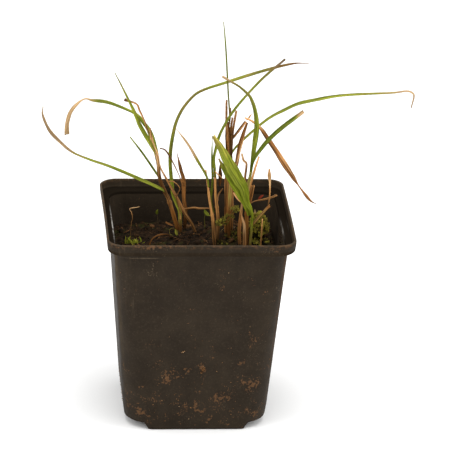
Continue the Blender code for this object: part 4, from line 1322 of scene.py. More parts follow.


# In the tone values of the tufts, twigs and seedlings below, the low values at the feet are painted shade
# down among the stems and the high values on lit stretches are painted light; halves paint one side of a
# folded blade in shade and the other lit.
def left_tuft_pieces():
    """Name, finish and shape of each piece of the left tuft."""
    yield "culm_left_main", "brown_stem", stem(
        [(-7, 17, 83), (-11, 14.5, 95), (-13, 13.5, 101), (-15, 12.5, 105.5), (-17.5, 11.5, 112.5),
         (-19, 9, 124), (-21.5, 7.5, 131), (-23, 6, 140)],
        (2.1, 2.4, 2.5, 2.3, 2.3, 2.4, 1.0), rooted=True, dry=(0.95, 1.0, 1.0, 1.0, 0.95, 0.9),
        tone=(0.38, 0.75, 1.0, 0.85, 1.25, 1.4, 1.0), nodes=(0.3,), flat=0.15, seed=2)
    yield "stem_left_second", "tan_stem", stem(
        [(1.2, 12.8, 82.8), (0, 12.5, 85.7), (-1.5, 12, 89), (-5.5, 11, 95.5), (-9, 9.5, 103),
         (-14, 8, 112.5), (-17, 8.4, 118), (-18, 9, 121)],
        (1.6, 1.7, 1.9, 1.7, 1.3, 0.9), dry=(0.95, 0.95, 0.9, 0.95, 1.0),
        tone=(0.2, 0.45, 0.65, 0.65, 1.2), nodes=(0.35,), flat=0.2, seed=5)
    yield "leaf_left_arching", "green_leaf", blade(
        [(-18.3, 10.2, 118.5), (-19.5, 12, 125.5), (-22.5, 13.5, 135), (-25.5, 14.5, 139.5),
         (-29.5, 16, 143.5), (-38, 17.5, 147), (-43.5, 18.5, 148.5), (-50, 19.5, 149),
         (-53.5, 20.5, 149.5), (-57, 21, 147), (-60.5, 22, 142), (-62, 23, 135.5), (-62, 24, 129.5)],
        (1.4, 2.3, 2.6, 1.9, 1.3, 1.6, 2.2, 0.8, 1.7, 2.1, 2.7),
        dry=(0.4, 0.3, 0.22, 0.22, 0.25, 0.2, 0.22, 0.78, 1.0, 1.0, 1.0),
        tone=(0.7, 0.75, 0.8, 0.85, 0.9, 0.78, 0.62, 1.15, 0.85, 0.9, 0.82),
        twist=(0, 0, 10, 25, 10, 0, -10, 0, 15, 20, 20), halves=(0.8, 1.15), torn=1.8, seed=3)
    yield "leaf_left_upright", "green_leaf", blade(
        [(-19.8, 8, 126), (-23, 4.5, 133), (-26, 3, 138.5), (-28.5, 1.5, 143.5), (-31, 0, 150),
         (-37, -3.5, 163.5), (-41, -6, 172)],
        (1.4, 2.2, 2.2, 1.8, 1.2, 0.8, 0.4), dry=(0.4, 0.28, 0.25, 0.3, 0.35),
        tone=(0.8, 1.05, 1.2, 1.1, 1.0), halves=(1.15, 0.8), seed=7)
    yield "leaf_left_long", "green_leaf", blade(
        [(-14.8, 12.2, 105), (-17, 9.5, 107.5), (-25, 6.5, 112.5), (-41, 1.5, 121.5), (-52, -2.5, 127),
         (-60.5, -5.5, 132), (-67.5, -8, 139), (-72, -10, 145), (-75, -12.5, 153), (-75, -14, 158)],
        (1.3, 1.7, 1.8, 1.65, 1.4, 1.15, 0.95, 1.4, 1.7, 1.3, 0.5),
        dry=(0.25, 0.28, 0.25, 0.28, 0.28, 0.3, 0.42, 1.0, 1.0, 0.9, 0.9),
        tone=(0.85, 0.95, 0.9, 0.88, 0.86, 0.86, 0.95, 0.75, 0.58, 0.62, 0.5),
        twist=(0, 0, 0, 5, 20, 40, 20, 10, 30), halves=(0.9, 1.1), seed=11)
    yield "leaf_left_thin", "green_leaf", blade(
        [(-15.5, 12.6, 107), (-17, 14.5, 110.5), (-24.5, 18.5, 121), (-31.5, 22, 129.5)],
        (0.9, 1.1, 1.0, 0.6), dry=(0.3, 0.15, 0.1, 0.3), tone=(0.6, 0.6, 0.65, 1.0), seed=13)
    yield "leaf_tall_arching", "sheathed_leaf", blade(
        [(-6.5, 14, 83), (-7, 15, 93), (-8.5, 15.5, 97), (-10.5, 16, 102), (-11, 16.5, 106.5),
         (-12, 18, 116), (-12, 18.5, 123.5), (-11, 19.5, 131), (-9.5, 20.5, 137.5), (-7, 21.5, 143),
         (-3.5, 22, 148), (0.5, 23, 151.5), (6, 23.5, 154), (14.5, 24.5, 156.5), (30.5, 27, 161),
         (46, 29, 164.5), (54.5, 30, 164.5)],
        (1.5, 1.8, 1.8, 1.8, 1.75, 1.5, 1.55, 1.55, 1.9, 1.7, 1.25, 0.35), rooted=True,
        dry=(0.8, 0.33, 0.25, 0.28, 0.3, 0.4, 0.42, 0.36, 0.36, 0.42, 0.6, 0.9),
        tone=(0.35, 0.85, 0.95, 0.9, 0.8, 0.6, 0.56, 0.68, 0.74, 0.7, 0.6, 0.5),
        twist=(0, 0, 0, 5, 15, 15, 5, 0), halves=(1.12, 0.82), seed=17)
    yield "dead_blade_left", "dead_leaf", blade(
        [(-4.5, 18, 83), (-4, 17.5, 92), (-5, 17.5, 99), (-5.5, 17, 109), (-7, 16.5, 114.5),
         (-9, 16, 123.5)],
        (1.5, 1.7, 1.8, 2.1, 1.7, 0.3), rooted=True, dry=1.0, tone=(0.2, 0.5, 0.8, 0.75, 0.55, 0.7),
        fold=0.6, ripple=0.12, seed=19)
    yield "dead_thread_left_tip", "tan_thread", stem(
        [(-22.2, 7.6, 134.5), (-24, 9, 138), (-25.5, 8.5, 142.5), (-28, 8, 148), (-29.5, 7.5, 151.5),
         (-33, 7.5, 153), (-35.5, 7, 154)],
        (1.1, 1.0, 0.9, 1.1, 1.0, 1.9), dry=(0.5, 0.8, 1.0, 1.0, 1.0),
        tone=(0.8, 0.85, 0.9, 0.8, 0.6, 0.22), flat=0.45, seed=23, around=12)
    yield "dead_thread_left_back", "dead_leaf", stem(
        [(-6.4, 11.2, 109), (-8, 12, 113.5), (-11, 13.5, 119.5), (-14.5, 15, 125), (-17.5, 16, 126)],
        (0.5, 0.5, 0.7, 1.0, 0.7), tone=(0.6, 0.45, 0.4, 0.4), flat=0.4, seed=29, around=10)
    yield "dead_thread_left_kinked", "tan_stem", stem(
        [(-13.6, 7.4, 112), (-11, 6, 112.5), (-8, 6, 109), (-9.5, 6.5, 104.5), (-8.5, 6.5, 100.5),
         (-7.5, 7, 96), (-7, 7, 92)],
        (0.5, 0.5, 0.6, 0.6, 0.6, 1.0), tone=(0.7, 0.6, 0.55, 0.65), flat=0.4, seed=31, around=10)


class MISCANTHUS_OT_left_tuft(bpy.types.Operator):
    """Builds the left tuft: two culms, the arching and long blades and the dry threads"""

    bl_idname = "miscanthus.left_tuft"
    bl_label = "Left tuft"

    def execute(self, context):
        return add_plants(left_tuft_pieces())


def middle_tuft_pieces():
    """Name, finish and shape of each piece of the middle tuft."""
    yield "stub_middle_left", "tan_stem", stem(
        [(9, -3, 83), (8, -2.5, 94.5), (6.5, -2.5, 103), (5.5, -2.5, 109), (4.5, -2, 116),
         (3.5, -2, 122.5)],
        (1.6, 2.2, 1.9, 1.6, 1.2, 0.9), rooted=True, dry=(1.0, 1.0, 0.95, 0.9, 0.9, 0.8),
        tone=(0.14, 0.3, 0.75, 0.85, 0.85, 0.95), nodes=(0.42,), torn=1.4, flat=0.25, seed=37)
    yield "stem_middle", "tan_stem", stem(
        [(10.5, 1, 84), (10.5, 1, 95), (9, 1, 107.5), (8.5, 1, 117), (8, 1, 119.5)],
        (1.6, 1.9, 1.8, 1.6), rooted=True, tone=(0.12, 0.32, 0.7, 0.8, 0.85), nodes=(0.5,), torn=1.2,
        flat=0.2, seed=41)
    yield "leaf_middle_brown_tip", "green_leaf", blade(
        [(5.2, -2.6, 113), (4, -4.5, 119), (-1, -7, 128.5), (-5.5, -9.5, 137), (-12, -12, 146.5)],
        (0.8, 1.2, 1.5, 1.2, 0.25), dry=(0.3, 0.25, 0.4, 0.85, 1.0, 1.0),
        tone=(0.8, 0.9, 0.9, 0.8, 1.1), seed=43)
    yield "leaf_middle_thin", "green_leaf", blade(
        [(8.4, 1.6, 98), (7, 2.5, 104.5), (7.5, 3.5, 114.5), (7, 4.5, 123.5), (7, 6, 136)],
        (1.0, 1.1, 1.0, 0.8, 0.2), dry=(0.25, 0.2, 0.15, 0.2), tone=(0.4, 0.5, 0.8, 1.0), seed=47)
    yield "leaf_middle_diagonal", "green_leaf", blade(
        [(8.3, 0.4, 117), (8, -1, 121.5), (7.5, -0.5, 126), (8, -0.5, 130), (10.5, 0.5, 139.5),
         (17, 1.5, 151), (29, 3, 165), (40.5, 4, 175.5)],
        (1.2, 1.4, 1.4, 1.3, 1.3, 1.35, 1.35, 1.1), dry=(0.3, 0.2, 0.22, 0.28, 0.28, 0.32, 0.4, 0.95),
        tone=(0.75, 0.8, 0.85, 0.85, 0.7, 0.72, 0.55, 0.2), twist=(0, 0, 0, 10, 15, 5), seed=53)
    yield "spike_tall", "green_leaf", stem(
        [(14.8, 6, 141), (15, 6, 147), (14, 5, 157.5), (12, 3, 181.5), (10.5, 2, 195)],
        (0.95, 0.95, 0.95, 0.9, 0.5), dry=(0.35, 0.25, 0.25, 0.3), tone=(0.6, 0.6, 0.62, 0.6), torn=0.0,
        flat=0.3, seed=59, around=12)
    yield "leaf_broad", "sheathed_leaf", blade(
        [(25.5, -6, 83), (26, -9, 97), (25.5, -10.5, 103.5), (23, -12, 109), (21, -14, 116.5),
         (18, -15.5, 122), (14, -17.5, 129.5), (11, -19, 135.5), (8.5, -20.5, 140.5), (5, -22, 146.5)],
        (1.4, 1.4, 1.2, 1.3, 2.4, 4.2, 5.5, 5.8, 4.8, 3.2, 1.6), facing=(0.1, -0.95, 0.2), rooted=True,
        dry=(0.75, 0.5, 0.28, 0.2, 0.2, 0.22, 0.25, 0.28, 0.36, 0.48),
        tone=(0.4, 0.8, 1.25, 1.2, 1.05, 1.0, 1.05, 1.15, 1.25), halves=(0.8, 1.12), fold=0.28,
        thick=1.5, torn=1.6, seed=61, around=28)
    yield "leaf_broad_half", "green_leaf", blade(
        [(24.8, -6.4, 100), (23, -7.5, 105.5), (20, -9, 111.5), (16, -11, 118.5), (12, -13, 125.5),
         (8.5, -15, 132.5)],
        (1.6, 2.6, 3.4, 3.5, 3.0, 2.2, 0.8), facing=(-0.1, -0.97, 0.2),
        dry=(0.25, 0.18, 0.15, 0.15, 0.2, 0.6), tone=(1.1, 1.5, 1.5, 1.4, 1.1, 0.9), halves=(1.1, 0.72),
        torn=1.2, seed=67)
    yield "dead_bundle", "dead_leaf", joined([
        blade(
            [(15.2, 5.6, 120), (15.5, 5, 125), (14.5, 5, 131.5), (14.5, 5, 139), (13.5, 5, 144)],
            (2.1, 2.7, 2.6, 1.6), facing=(0.2, -1, 0), dry=1.0, tone=(0.3, 0.3, 0.36, 0.5), fold=0.9,
            thick=1.6, torn=2.5, ripple=0.14, seed=71),
        blade(
            [(15.6, 4.3, 121), (15.2, 4.2, 128), (14.4, 4.2, 136), (13.2, 4.3, 145)],
            (1.2, 1.6, 1.6, 1.0), facing=(-0.5, -1, 0), dry=1.0, tone=(0.5, 0.6, 0.9, 1.3), fold=0.8,
            thick=1.3, torn=2.0, ripple=0.14, seed=73),
        blade(
            [(14.4, 6.0, 121), (14.0, 6.2, 129), (13.4, 6.0, 137), (13.6, 6.1, 142)],
            (1.2, 1.6, 1.4, 0.8), facing=(0.5, -1, 0), dry=1.0, tone=(0.28, 0.32, 0.45), fold=0.7,
            thick=1.3, torn=2.5, ripple=0.14, seed=79),
    ])
    yield "stub_bundle_a", "tan_stem", stem(
        [(13.6, 6, 141), (13.5, 6.5, 145.5), (13.5, 8, 154)], (1.1, 1.2, 1.2, 1.1),
        tone=(0.35, 0.42, 0.5), torn=1.0, flat=0.3, seed=83, around=12)
    yield "stub_bundle_b", "tan_stem", stem(
        [(14.8, 3.8, 143), (15, 3, 147), (15, 2.5, 151.5)], (0.9, 1.1, 1.1, 1.0), tone=(0.4, 0.45, 0.5),
        torn=0.9, flat=0.3, seed=89, around=12)
    yield "stub_bundle_c", "dead_leaf", stem(
        [(15.6, 3.8, 120), (16, 2.5, 125), (16.5, 3, 138.5), (18, 3, 150.5)], (1.3, 1.4, 1.3, 1.3),
        tone=(0.25, 0.25, 0.4, 0.7, 1.1), torn=1.2, flat=0.35, seed=97, around=14)
    yield "stub_bundle_d", "dead_leaf", stem(
        [(16, 1.6, 138), (15.5, 0.5, 142.5), (16, 0, 148)], (1.0, 1.2, 1.2, 1.1),
        tone=(0.22, 0.28, 0.45), torn=1.0, flat=0.3, seed=101, around=12)
    yield "dead_branch_tan", "tan_stem", blade(
        [(16.4, 0.6, 137), (17, -1, 138.5), (22.5, 1, 145.5)], (1.0, 1.3, 1.4, 1.2),
        facing=(0, -1, 0.2), tone=(0.24, 0.28, 0.45, 0.75), dry=1.0, fold=0.8, thick=1.4, torn=0.8,
        seed=103)
    yield "dead_blade_folded", "dead_leaf", joined([
        blade(
            [(17.6, 1.6, 119), (18.5, 1, 123), (19.5, 2, 130), (20.5, 2.5, 135), (23.5, 4, 144)],
            (1.2, 1.8, 1.9, 1.7, 1.1), facing=(0, -1, 0.2), dry=1.0, tone=(0.7, 0.9, 0.75, 0.8, 0.6),
            fold=0.9, thick=1.2, torn=1.0, ripple=0.1, seed=107),
        blade(
            [(17.9, 0.4, 120), (18.7, 0.2, 125), (20.4, 1.4, 132), (22.8, 3.0, 141)],
            (0.6, 1.0, 1.0, 0.4), facing=(0.6, -1, 0.1), dry=1.0, tone=(1.2, 1.3, 1.0), fold=0.6,
            thick=1.0, torn=0.8, ripple=0.1, seed=109),
    ])
    yield "dead_tip_tan", "tan_stem", stem(
        [(23.6, 9.6, 142.8), (24.5, 11, 143), (26, 11, 145.5)], (0.6, 0.8, 0.9, 0.5),
        tone=(1.0, 1.1, 0.9), torn=0.5, flat=0.4, seed=113, around=10)
    yield "dead_leaf_remnant", "dead_leaf", blade(
        [(11.2, 7.2, 110), (11, 7, 113.5), (11, 7.5, 118), (11.5, 8, 122)], (0.8, 1.8, 2.6, 1.6, 0.6),
        facing=(0.4, -1, 0.2), dry=1.0, tone=(0.35, 0.32, 0.45, 0.7), fold=0.9, ripple=0.25, torn=1.5,
        seed=127)
    yield "culm_middle_brown", "brown_stem", stem(
        [(15, 5, 87), (15, 5, 96.5), (14.5, 5.5, 113.5), (15, 6, 123)], (2.3, 2.7, 2.6, 2.2),
        rooted=True, tone=(0.4, 0.85, 0.95, 0.7), nodes=(0.35,), flat=0.1, seed=131)
    yield "culm_middle_green", "sheathed_leaf", stem(
        [(16, 1, 86), (16, 1.5, 98), (16, 3, 115.5)], (1.6, 1.9, 1.9, 1.6), rooted=True,
        dry=(0.95, 0.85, 0.6, 0.5), tone=(0.35, 0.7, 1.0, 0.9), flat=0.1, seed=137)
    yield "culm_middle_tan", "tan_stem", stem(
        [(17.5, 6.5, 88), (17.5, 6.5, 96), (17, 7, 114)], (1.8, 2.1, 2.0, 1.6), rooted=True,
        tone=(0.25, 0.45, 0.65, 0.5), nodes=(0.5,), seed=139)
    yield "dead_sliver_back", "tan_stem", stem(
        [(10.4, 3.6, 103.4), (11, 8, 105), (13, 8, 108.5)], (0.6, 0.7, 0.8, 0.5), tone=0.5, flat=0.5,
        seed=149, around=10)
    yield "dead_sliver_front", "tan_stem", blade(
        [(21.6, -6, 106), (19.5, -6, 108), (17, -5, 111.5)], (0.6, 1.0, 1.3, 0.8), facing=(0, -1, 0.2),
        dry=1.0, tone=(0.9, 1.1, 1.1), torn=0.6, seed=151)


class MISCANTHUS_OT_middle_tuft(bpy.types.Operator):
    """Builds the middle tuft: the broad blade, the dead bundle, thin blades, culms and stubs"""

    bl_idname = "miscanthus.middle_tuft"
    bl_label = "Middle tuft"

    def execute(self, context):
        return add_plants(middle_tuft_pieces())


def right_tuft_pieces():
    """Name, finish and shape of each piece of the right tuft."""
    yield "stem_right", "sheathed_leaf", stem(
        [(24.5, -2, 84), (24, -2, 98.5), (24, -2, 111.5), (25.5, -2, 121)], (2.0, 2.3, 2.1, 1.7),
        rooted=True, dry=(1.0, 0.95, 0.6, 0.4), tone=(0.35, 0.55, 0.85, 1.0), nodes=(0.45,), flat=0.15,
        seed=157)
    yield "leaf_right_arching", "green_leaf", blade(
        [(25, -2, 116), (25.5, -2, 122.5), (26.5, -5, 136), (27, -7.5, 145.5), (26, -9, 153.5),
         (24, -11, 160), (22, -12, 163.5), (17.5, -13.5, 168), (13, -14.5, 171), (9, -16, 174)],
        (1.1, 1.5, 2.2, 2.6, 2.3, 1.8, 1.3, 1.0, 1.1),
        dry=(0.35, 0.25, 0.25, 0.22, 0.22, 0.28, 0.42, 0.5, 0.75),
        tone=(0.6, 0.8, 0.95, 1.0, 0.85, 0.72, 0.6, 0.85), twist=(0, 0, 0, 15, 25, 35, 30),
        halves=(0.85, 1.12), torn=0.6, seed=163)
    yield "leaf_right_long", "green_leaf", blade(
        [(15.4, 8, 122), (17.5, 9.5, 127), (22.5, 10.5, 132.5), (30, 12, 139), (35.5, 13, 143),
         (41.5, 14, 146), (48.5, 15, 149), (57, 16.5, 150.5), (66, 17.5, 152), (76.5, 19, 152.5),
         (94.5, 21.5, 152.5), (101.5, 22.5, 153), (104.5, 23, 152), (105.5, 23, 150), (104.5, 24, 144)],
        (0.8, 1.1, 1.3, 1.5, 1.8, 2.0, 1.9, 1.5, 1.25, 1.05, 0.95, 0.9, 0.6),
        dry=(0.35, 0.28, 0.3, 0.28, 0.25, 0.25, 0.28, 0.3, 0.35, 0.4, 0.55, 1.0, 1.0),
        tone=(0.8, 0.85, 0.92, 0.95, 0.88, 0.88, 0.88, 0.9, 0.9, 0.85, 0.7),
        twist=(0, 0, 15, 10, 0, -10, -10, 0), halves=(0.88, 1.1), seed=167)
    yield "leaf_right_torn", "green_leaf", blade(
        [(25.4, -2.8, 121), (26, -5.5, 127.5), (29, -7, 133.5), (33.5, -8.5, 140), (39.5, -11, 147),
         (49, -14, 156)],
        (1.0, 1.6, 2.0, 2.2, 2.2, 1.8), dry=(0.2, 0.12, 0.1, 0.12, 0.15, 0.15, 0.95),
        tone=(0.6, 0.75, 0.8, 0.75, 0.7, 0.8, 1.0), halves=(0.8, 1.1), torn=1.8, seed=173)
    yield "dead_leaf_right", "dead_leaf", blade(
        [(22.5, 8, 144.5), (26.5, 7.5, 142.5), (30, 7, 139.5), (33.5, 6.5, 134.5), (41.5, 5, 122.5),
         (49, 3.5, 111.5), (54.5, 2.5, 104.5), (58, 2, 102.5)],
        (0.8, 1.2, 2.0, 2.6, 2.9, 2.9, 2.5, 0.7, 1.6, 0.3), dry=1.0,
        tone=(1.4, 1.3, 0.42, 0.5, 0.85, 0.9, 0.66, 0.55, 0.9), fold=0.6, twist=(0, 0, 8, 0, 0, -10),
        ripple=0.1, halves=(1.25, 0.62), seed=179)
    yield "stub_right_kinked", "tan_stem", stem(
        [(24, -0.2, 106), (24, 1.5, 110), (23, 1.5, 115), (23.5, 2, 123), (22, 2, 125), (21, 2, 129)],
        (1.0, 1.2, 1.3, 1.2, 1.3, 1.0), tone=(0.35, 0.75, 0.5, 0.35, 1.1, 1.5), torn=1.0, flat=0.3,
        seed=181)
    yield "stub_right_tan", "tan_stem", stem(
        [(24.4, 2.6, 101), (25, 5, 106), (27.5, 6, 117), (30, 7, 125.5)], (0.9, 1.1, 1.2, 1.0),
        tone=(0.5, 0.6, 0.9, 1.1), torn=1.0, flat=0.3, seed=191)
    yield "stub_right_short", "brown_stem", stem(
        [(25.2, 0.2, 102), (26, 1, 106.5), (27, 1, 113)], (1.4, 1.7, 1.8, 1.8), tone=(0.6, 0.8, 0.95),
        torn=1.4, flat=0.35, seed=193)
    yield "straw_spoon", "tan_stem", stem(
        [(35, 6, 100.5), (35.5, 6, 104.5), (35.5, 6, 111), (35, 6, 117), (35, 6, 119.5)],
        (0.6, 0.8, 0.8, 1.0, 2.3, 0.9), tone=(0.45, 0.6, 0.9, 1.4, 1.2, 1.0), torn=0.6, flat=0.55,
        seed=197)
    yield "twig_right", "tan_stem", stem(
        [(26.4, 4.4, 102), (28.5, 6, 102.5), (32.5, 8, 102.5), (36.5, 9.5, 103), (40, 11, 104)],
        (0.7, 0.8, 1.0, 1.1, 1.5), tone=(0.22, 0.3, 0.38, 0.42), torn=1.0, flat=0.3, seed=199)
    yield "stub_right_green", "brown_stem", stem(
        [(25.4, -2.2, 91), (26.5, -2, 93), (30, -0.5, 96.5), (33, 1, 99.5), (36, 2.5, 102)],
        (1.2, 1.5, 1.6, 1.6), dry=(0.7, 0.6, 0.65, 0.8), tone=(0.6, 0.9, 1.0, 0.8), torn=1.6, flat=0.3,
        seed=211)
    yield "straw_right", "tan_stem", stem(
        [(31, -4, 84), (31.5, -4, 97.5)], (0.8, 0.85, 0.8, 0.6), rooted=True, tone=(0.4, 0.6, 0.8, 1.0),
        torn=0.8, flat=0.3, seed=223)
    yield "dead_blade_base_front", "dead_leaf", blade(
        [(23, -7.5, 84), (22.5, -8, 94.5), (21.5, -8, 99), (20.5, -8.5, 103)], (1.4, 1.6, 1.3, 0.4),
        facing=(0, -1, 0.2), rooted=True, dry=1.0, tone=(0.5, 1.0, 1.3, 1.0), fold=0.6, seed=227)
    yield "dead_blade_base_back", "dead_leaf", blade(
        [(21, -3, 84), (20.5, -3, 91), (21, -2.5, 98.5), (21.5, -2, 106)], (1.5, 1.8, 1.7, 0.8),
        facing=(0.2, -1, 0.2), rooted=True, dry=1.0, tone=(0.35, 0.5, 0.9, 1.3), fold=0.7, seed=229)


class MISCANTHUS_OT_right_tuft(bpy.types.Operator):
    """Builds the right tuft: the long, arching and torn blades, their stem and the stubs"""

    bl_idname = "miscanthus.right_tuft"
    bl_label = "Right tuft"

    def execute(self, context):
        return add_plants(right_tuft_pieces())


def twig_pieces():
    """Name, finish and shape of each loose twig and stem bit."""
    yield "twig_cross", "tan_stem", stem(
        [(-5.2, 15.4, 95), (-4, 14, 95.5), (-0.5, 10, 97.5), (2, 6.5, 98.5), (5.5, 3, 100),
         (7.2, 1.4, 100.4)],
        (0.9, 1.1, 1.1, 0.9), tone=(0.35, 0.35, 0.35, 0.3), torn=0.4, seed=233, around=12)
    yield "twig_middle", "tan_stem", stem(
        [(8, -4, 121.5), (10.5, -4, 119), (12, -4, 117.5)], (0.5, 0.6, 0.5), tone=0.9, torn=0.4,
        seed=239, around=10)
    yield "twig_mossy", "brown_stem", stem(
        [(11.5, -4, 94.5), (15, -2.5, 97), (19, -1, 101)], (1.0, 1.2, 0.8), dry=0.8,
        tone=(0.5, 0.6, 0.7), torn=0.5, seed=241, around=12)
    yield "fibre_pale", "tan_stem", stem(
        [(-31.5, 5, 80), (-31, 5, 91), (-30.5, 5, 94), (-31, 5, 97), (-32, 5, 99), (-29.5, 5, 99.5),
         (-27, 5, 100)],
        (0.18, 0.19, 0.2, 0.2, 0.26, 0.32), rooted=True, tone=(0.22, 0.25, 0.28, 0.4, 1.3, 1.7),
        torn=0.3, seed=251, around=10)
    yield "stem_fallen", "brown_stem", stem(
        [(-23.5, 0, 80), (-21.5, 1, 84), (-19, 2, 86), (-16, 3, 86.5), (-13.5, 4, 86), (-11.5, 5, 84)],
        (0.8, 0.9, 0.9, 0.7), rooted=True, tone=(0.22, 0.28, 0.42, 0.32), torn=0.4, seed=257, around=12)


class MISCANTHUS_OT_ground_twigs(bpy.types.Operator):
    """Builds the cross twig, mossy twig, small twig, pale fibre and fallen stem"""

    bl_idname = "miscanthus.ground_twigs"
    bl_label = "Twigs and fibres"

    def execute(self, context):
        return add_plants(twig_pieces())


# Moss tufts by piece: centre and radii of the lump they grow from, count, length, tone
MOSS_TUFTS = {
    "moss_twig_tufts": (
        ((11.5, -4, 94.3), (1.7, 1.4, 1.2), 70, 1.7, 0.14),
        ((13.5, -3, 95.6), (1.8, 1.0, 0.7), 50, 1.4, 0.08),
        ((15.8, -2.3, 97.4), (1.4, 0.8, 0.6), 36, 1.3, 0.20),
        ((18.6, -1, 100.4), (1.7, 1.1, 0.8), 46, 1.5, 0.26),
    ),
    "moss_middle_patch": (
        ((13.5, -1.0, 82.6), (2.6, 2.2, 1.4), 60, 1.4, -0.10),
        ((18.0, 2.0, 85.2), (2.8, 2.2, 1.6), 70, 1.5, -0.02),
        ((22.5, 5.0, 87.0), (2.6, 2.2, 1.6), 60, 1.5, 0.05),
    ),
}


def sprig(number, x, y, lean, tall):
    """A tiny upright blade, rooted in the compost and leaning along X."""
    foot = 77.6
    route = [(x, y, foot), (x + lean * 0.4, y - 0.3, foot + tall * 0.6), (x + lean, y - 0.6, foot + tall)]
    return blade(
        route, (0.35, 0.75, 0.2), facing=(0.2, -1, 0.3), dry=0.32, tone=1.7, torn=0.2,
        seed=401 + number, around=10,
    )


class MISCANTHUS_OT_moss(bpy.types.Operator):
    """Grows the moss cushion, the mossy twig, the middle patch and the young sprigs at the left"""

    bl_idname = "miscanthus.moss"
    bl_label = "Moss"

    def execute(self, context):
        rng = np.random.default_rng(77)
        low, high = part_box("moss_cushion_right")
        middle, reach = (low + high) / 2 / MM, (high - low) / 2 / MM
        centre = (middle.x, middle.y, middle.z - 2.0)
        radii = (reach.x * 0.72, reach.y * 0.78, reach.z + 1.2)
        shoots = context.scene.miscanthus_moss.shoots
        cushion = joined([
            lump(centre, radii, 5, 0.24),
            tuft_of_moss(centre, radii, shoots, 2.1, 0.38, rng, 0.3),
            tuft_of_moss((middle.x, middle.y - 2.0, 82.5), (4.0, 2.2, 1.2), 60, 1.6, 0.30, rng, 0.7),
        ])
        add_piece("moss_cushion_leafy", cushion, moss_material(), "moss", ("moss_cushion_right",), flat=True)
        for name, tufts in MOSS_TUFTS.items():
            shape = joined([tuft_of_moss(*tuft, rng) for tuft in tufts])
            add_piece(name, shape, moss_material(), "moss", flat=True)
        places = rng.uniform((-35.5, 9.5, -2.4, 2.2), (-24.5, 12.5, 2.4, 5.4), (16, 4))
        sprigs = joined([sprig(number, *place) for number, place in enumerate(places)])
        return add_plants([("seedling_sprigs_left", "green_leaf", sprigs)], packed=False)


def seedling_pieces():
    """Name, finish and shape of each seedling, leaflet and fallen leaf bit."""
    yield "seedling_looped", "green_leaf", joined([
        stem(
            [(-8.7, 9, 78.5), (-9.8, 9.2, 82.0), (-12.0, 10, 84.4), (-12.0, 10.4, 86.2),
             (-10.4, 10.6, 86.8), (-9.4, 10.3, 86.0)],
            (0.24, 0.26, 0.24), dry=0.45, tone=0.6, torn=0.1, seed=263, around=8),
        blade(
            [(-9.4, 10.3, 86.2), (-8.8, 10, 84.6), (-8.6, 9.8, 82.8)], (0.4, 1.4, 1.5, 0.3),
            facing=(0.2, -1, 0.3), dry=0.35, tone=1.0, fold=0.4, seed=269),
    ])
    yield "seedling_arched", "green_leaf", joined([
        stem(
            [(-10.9, 8, 78.5), (-9.6, 8, 80.6), (-7.5, 8, 81.4), (-5.6, 8, 80.4), (-5.0, 8, 78.6)],
            (0.4, 0.45, 0.4), dry=0.4, tone=0.8, torn=0.1, seed=271, around=8),
        blade(
            [(-7.5, 8, 81.3), (-6.4, 7.6, 82.4), (-5.2, 7.2, 82.0)], (0.3, 1.0, 0.9, 0.2), dry=0.3,
            tone=1.1, seed=277),
    ])
    yield "seedling_leaflets", "green_leaf", joined([
        stem(
            [(-16.6, 24.5, 82.0), (-17.0, 25, 86.0), (-17.3, 25, 88.5)], (0.22, 0.22, 0.2), dry=0.6,
            tone=0.25, torn=0.1, seed=281, around=8),
        blade(
            [(-17.3, 25, 88.2), (-17.4, 24.8, 89.8), (-17.0, 24.6, 91.0)], (0.3, 1.4, 1.2, 0.3),
            dry=0.3, tone=0.45, seed=283),
        stem(
            [(5.2, 11.5, 86.0), (4.8, 12, 91.0), (5.2, 12, 94.0)], (0.35, 0.35, 0.3), dry=0.4, tone=0.5,
            torn=0.1, seed=293, around=8),
        blade(
            [(4.6, 12, 96.0), (5.2, 11.8, 94.4), (6.6, 11.4, 93.2), (7.4, 11.2, 93.0)],
            (0.4, 1.6, 1.7, 0.4), facing=(0.3, -1, 0.5), dry=0.3, tone=0.75, seed=307),
    ])
    yield "leaf_bit_pale", "green_leaf", blade(
        [(26.6, 2.6, 82.6), (28.6, 2, 83.4), (30.6, 1.6, 82.6), (32.0, 1.4, 81.4)],
        (0.5, 1.4, 1.5, 0.4), facing=(0, -0.6, 0.8), dry=0.42, tone=1.0, fold=0.3, seed=311)
    yield "leaf_bit_pointed", "green_leaf", blade(
        [(28.7, 5.2, 92.8), (28.9, 5.6, 95.2), (28.6, 6, 98.0)], (1.0, 1.5, 0.3), facing=(0, -1, 0.3),
        dry=0.75, tone=0.9, fold=0.4, seed=313)
    yield "leaf_bit_rusty", "dead_leaf", blade(
        [(-13.4, 19.4, 86.4), (-11.8, 20, 85.2), (-9.6, 20.4, 84.4)], (0.8, 1.0, 0.8, 0.5), tone=0.55,
        dry=1.0, torn=0.6, seed=317)
    yield "leaf_bit_red", "red_leaf", blade(
        [(32.4, 30.2, 94.0), (33.4, 30, 95.4), (34.8, 29.8, 96.6)], (0.6, 1.1, 1.0, 0.5), tone=0.7,
        dry=0.9, torn=0.5, seed=331)


class MISCANTHUS_OT_seedlings(bpy.types.Operator):
    """Adds the looped and arching seedlings, leaflets and fallen leaf bits"""

    bl_idname = "miscanthus.seedlings"
    bl_label = "Seedlings and leaf bits"

    def execute(self, context):
        return add_plants(seedling_pieces(), packed=False)


# Each lamp: name, place and size in metres, share of the lamp power
LAMPS = (
    ("lamp_left", (-1.5, -0.7, 0.9), 0.9, 0.72),
    ("lamp_right", (1.5, -0.4, 0.9), 0.9, 0.82),
    ("lamp_above", (0.0, -0.3, 2.0), 1.6, 1.9),
)
LAMP_TARGET = Vector((0.0, 0.0, 90 * MM))
CAMERA_PLACE = Vector((-151.70, -1980.18, 863.44)) * MM
CAMERA_AIM = Vector((14.37, 0.0, 91.98)) * MM
CAMERA_ROLL = 1.72
CAMERA_LENS = 352.66


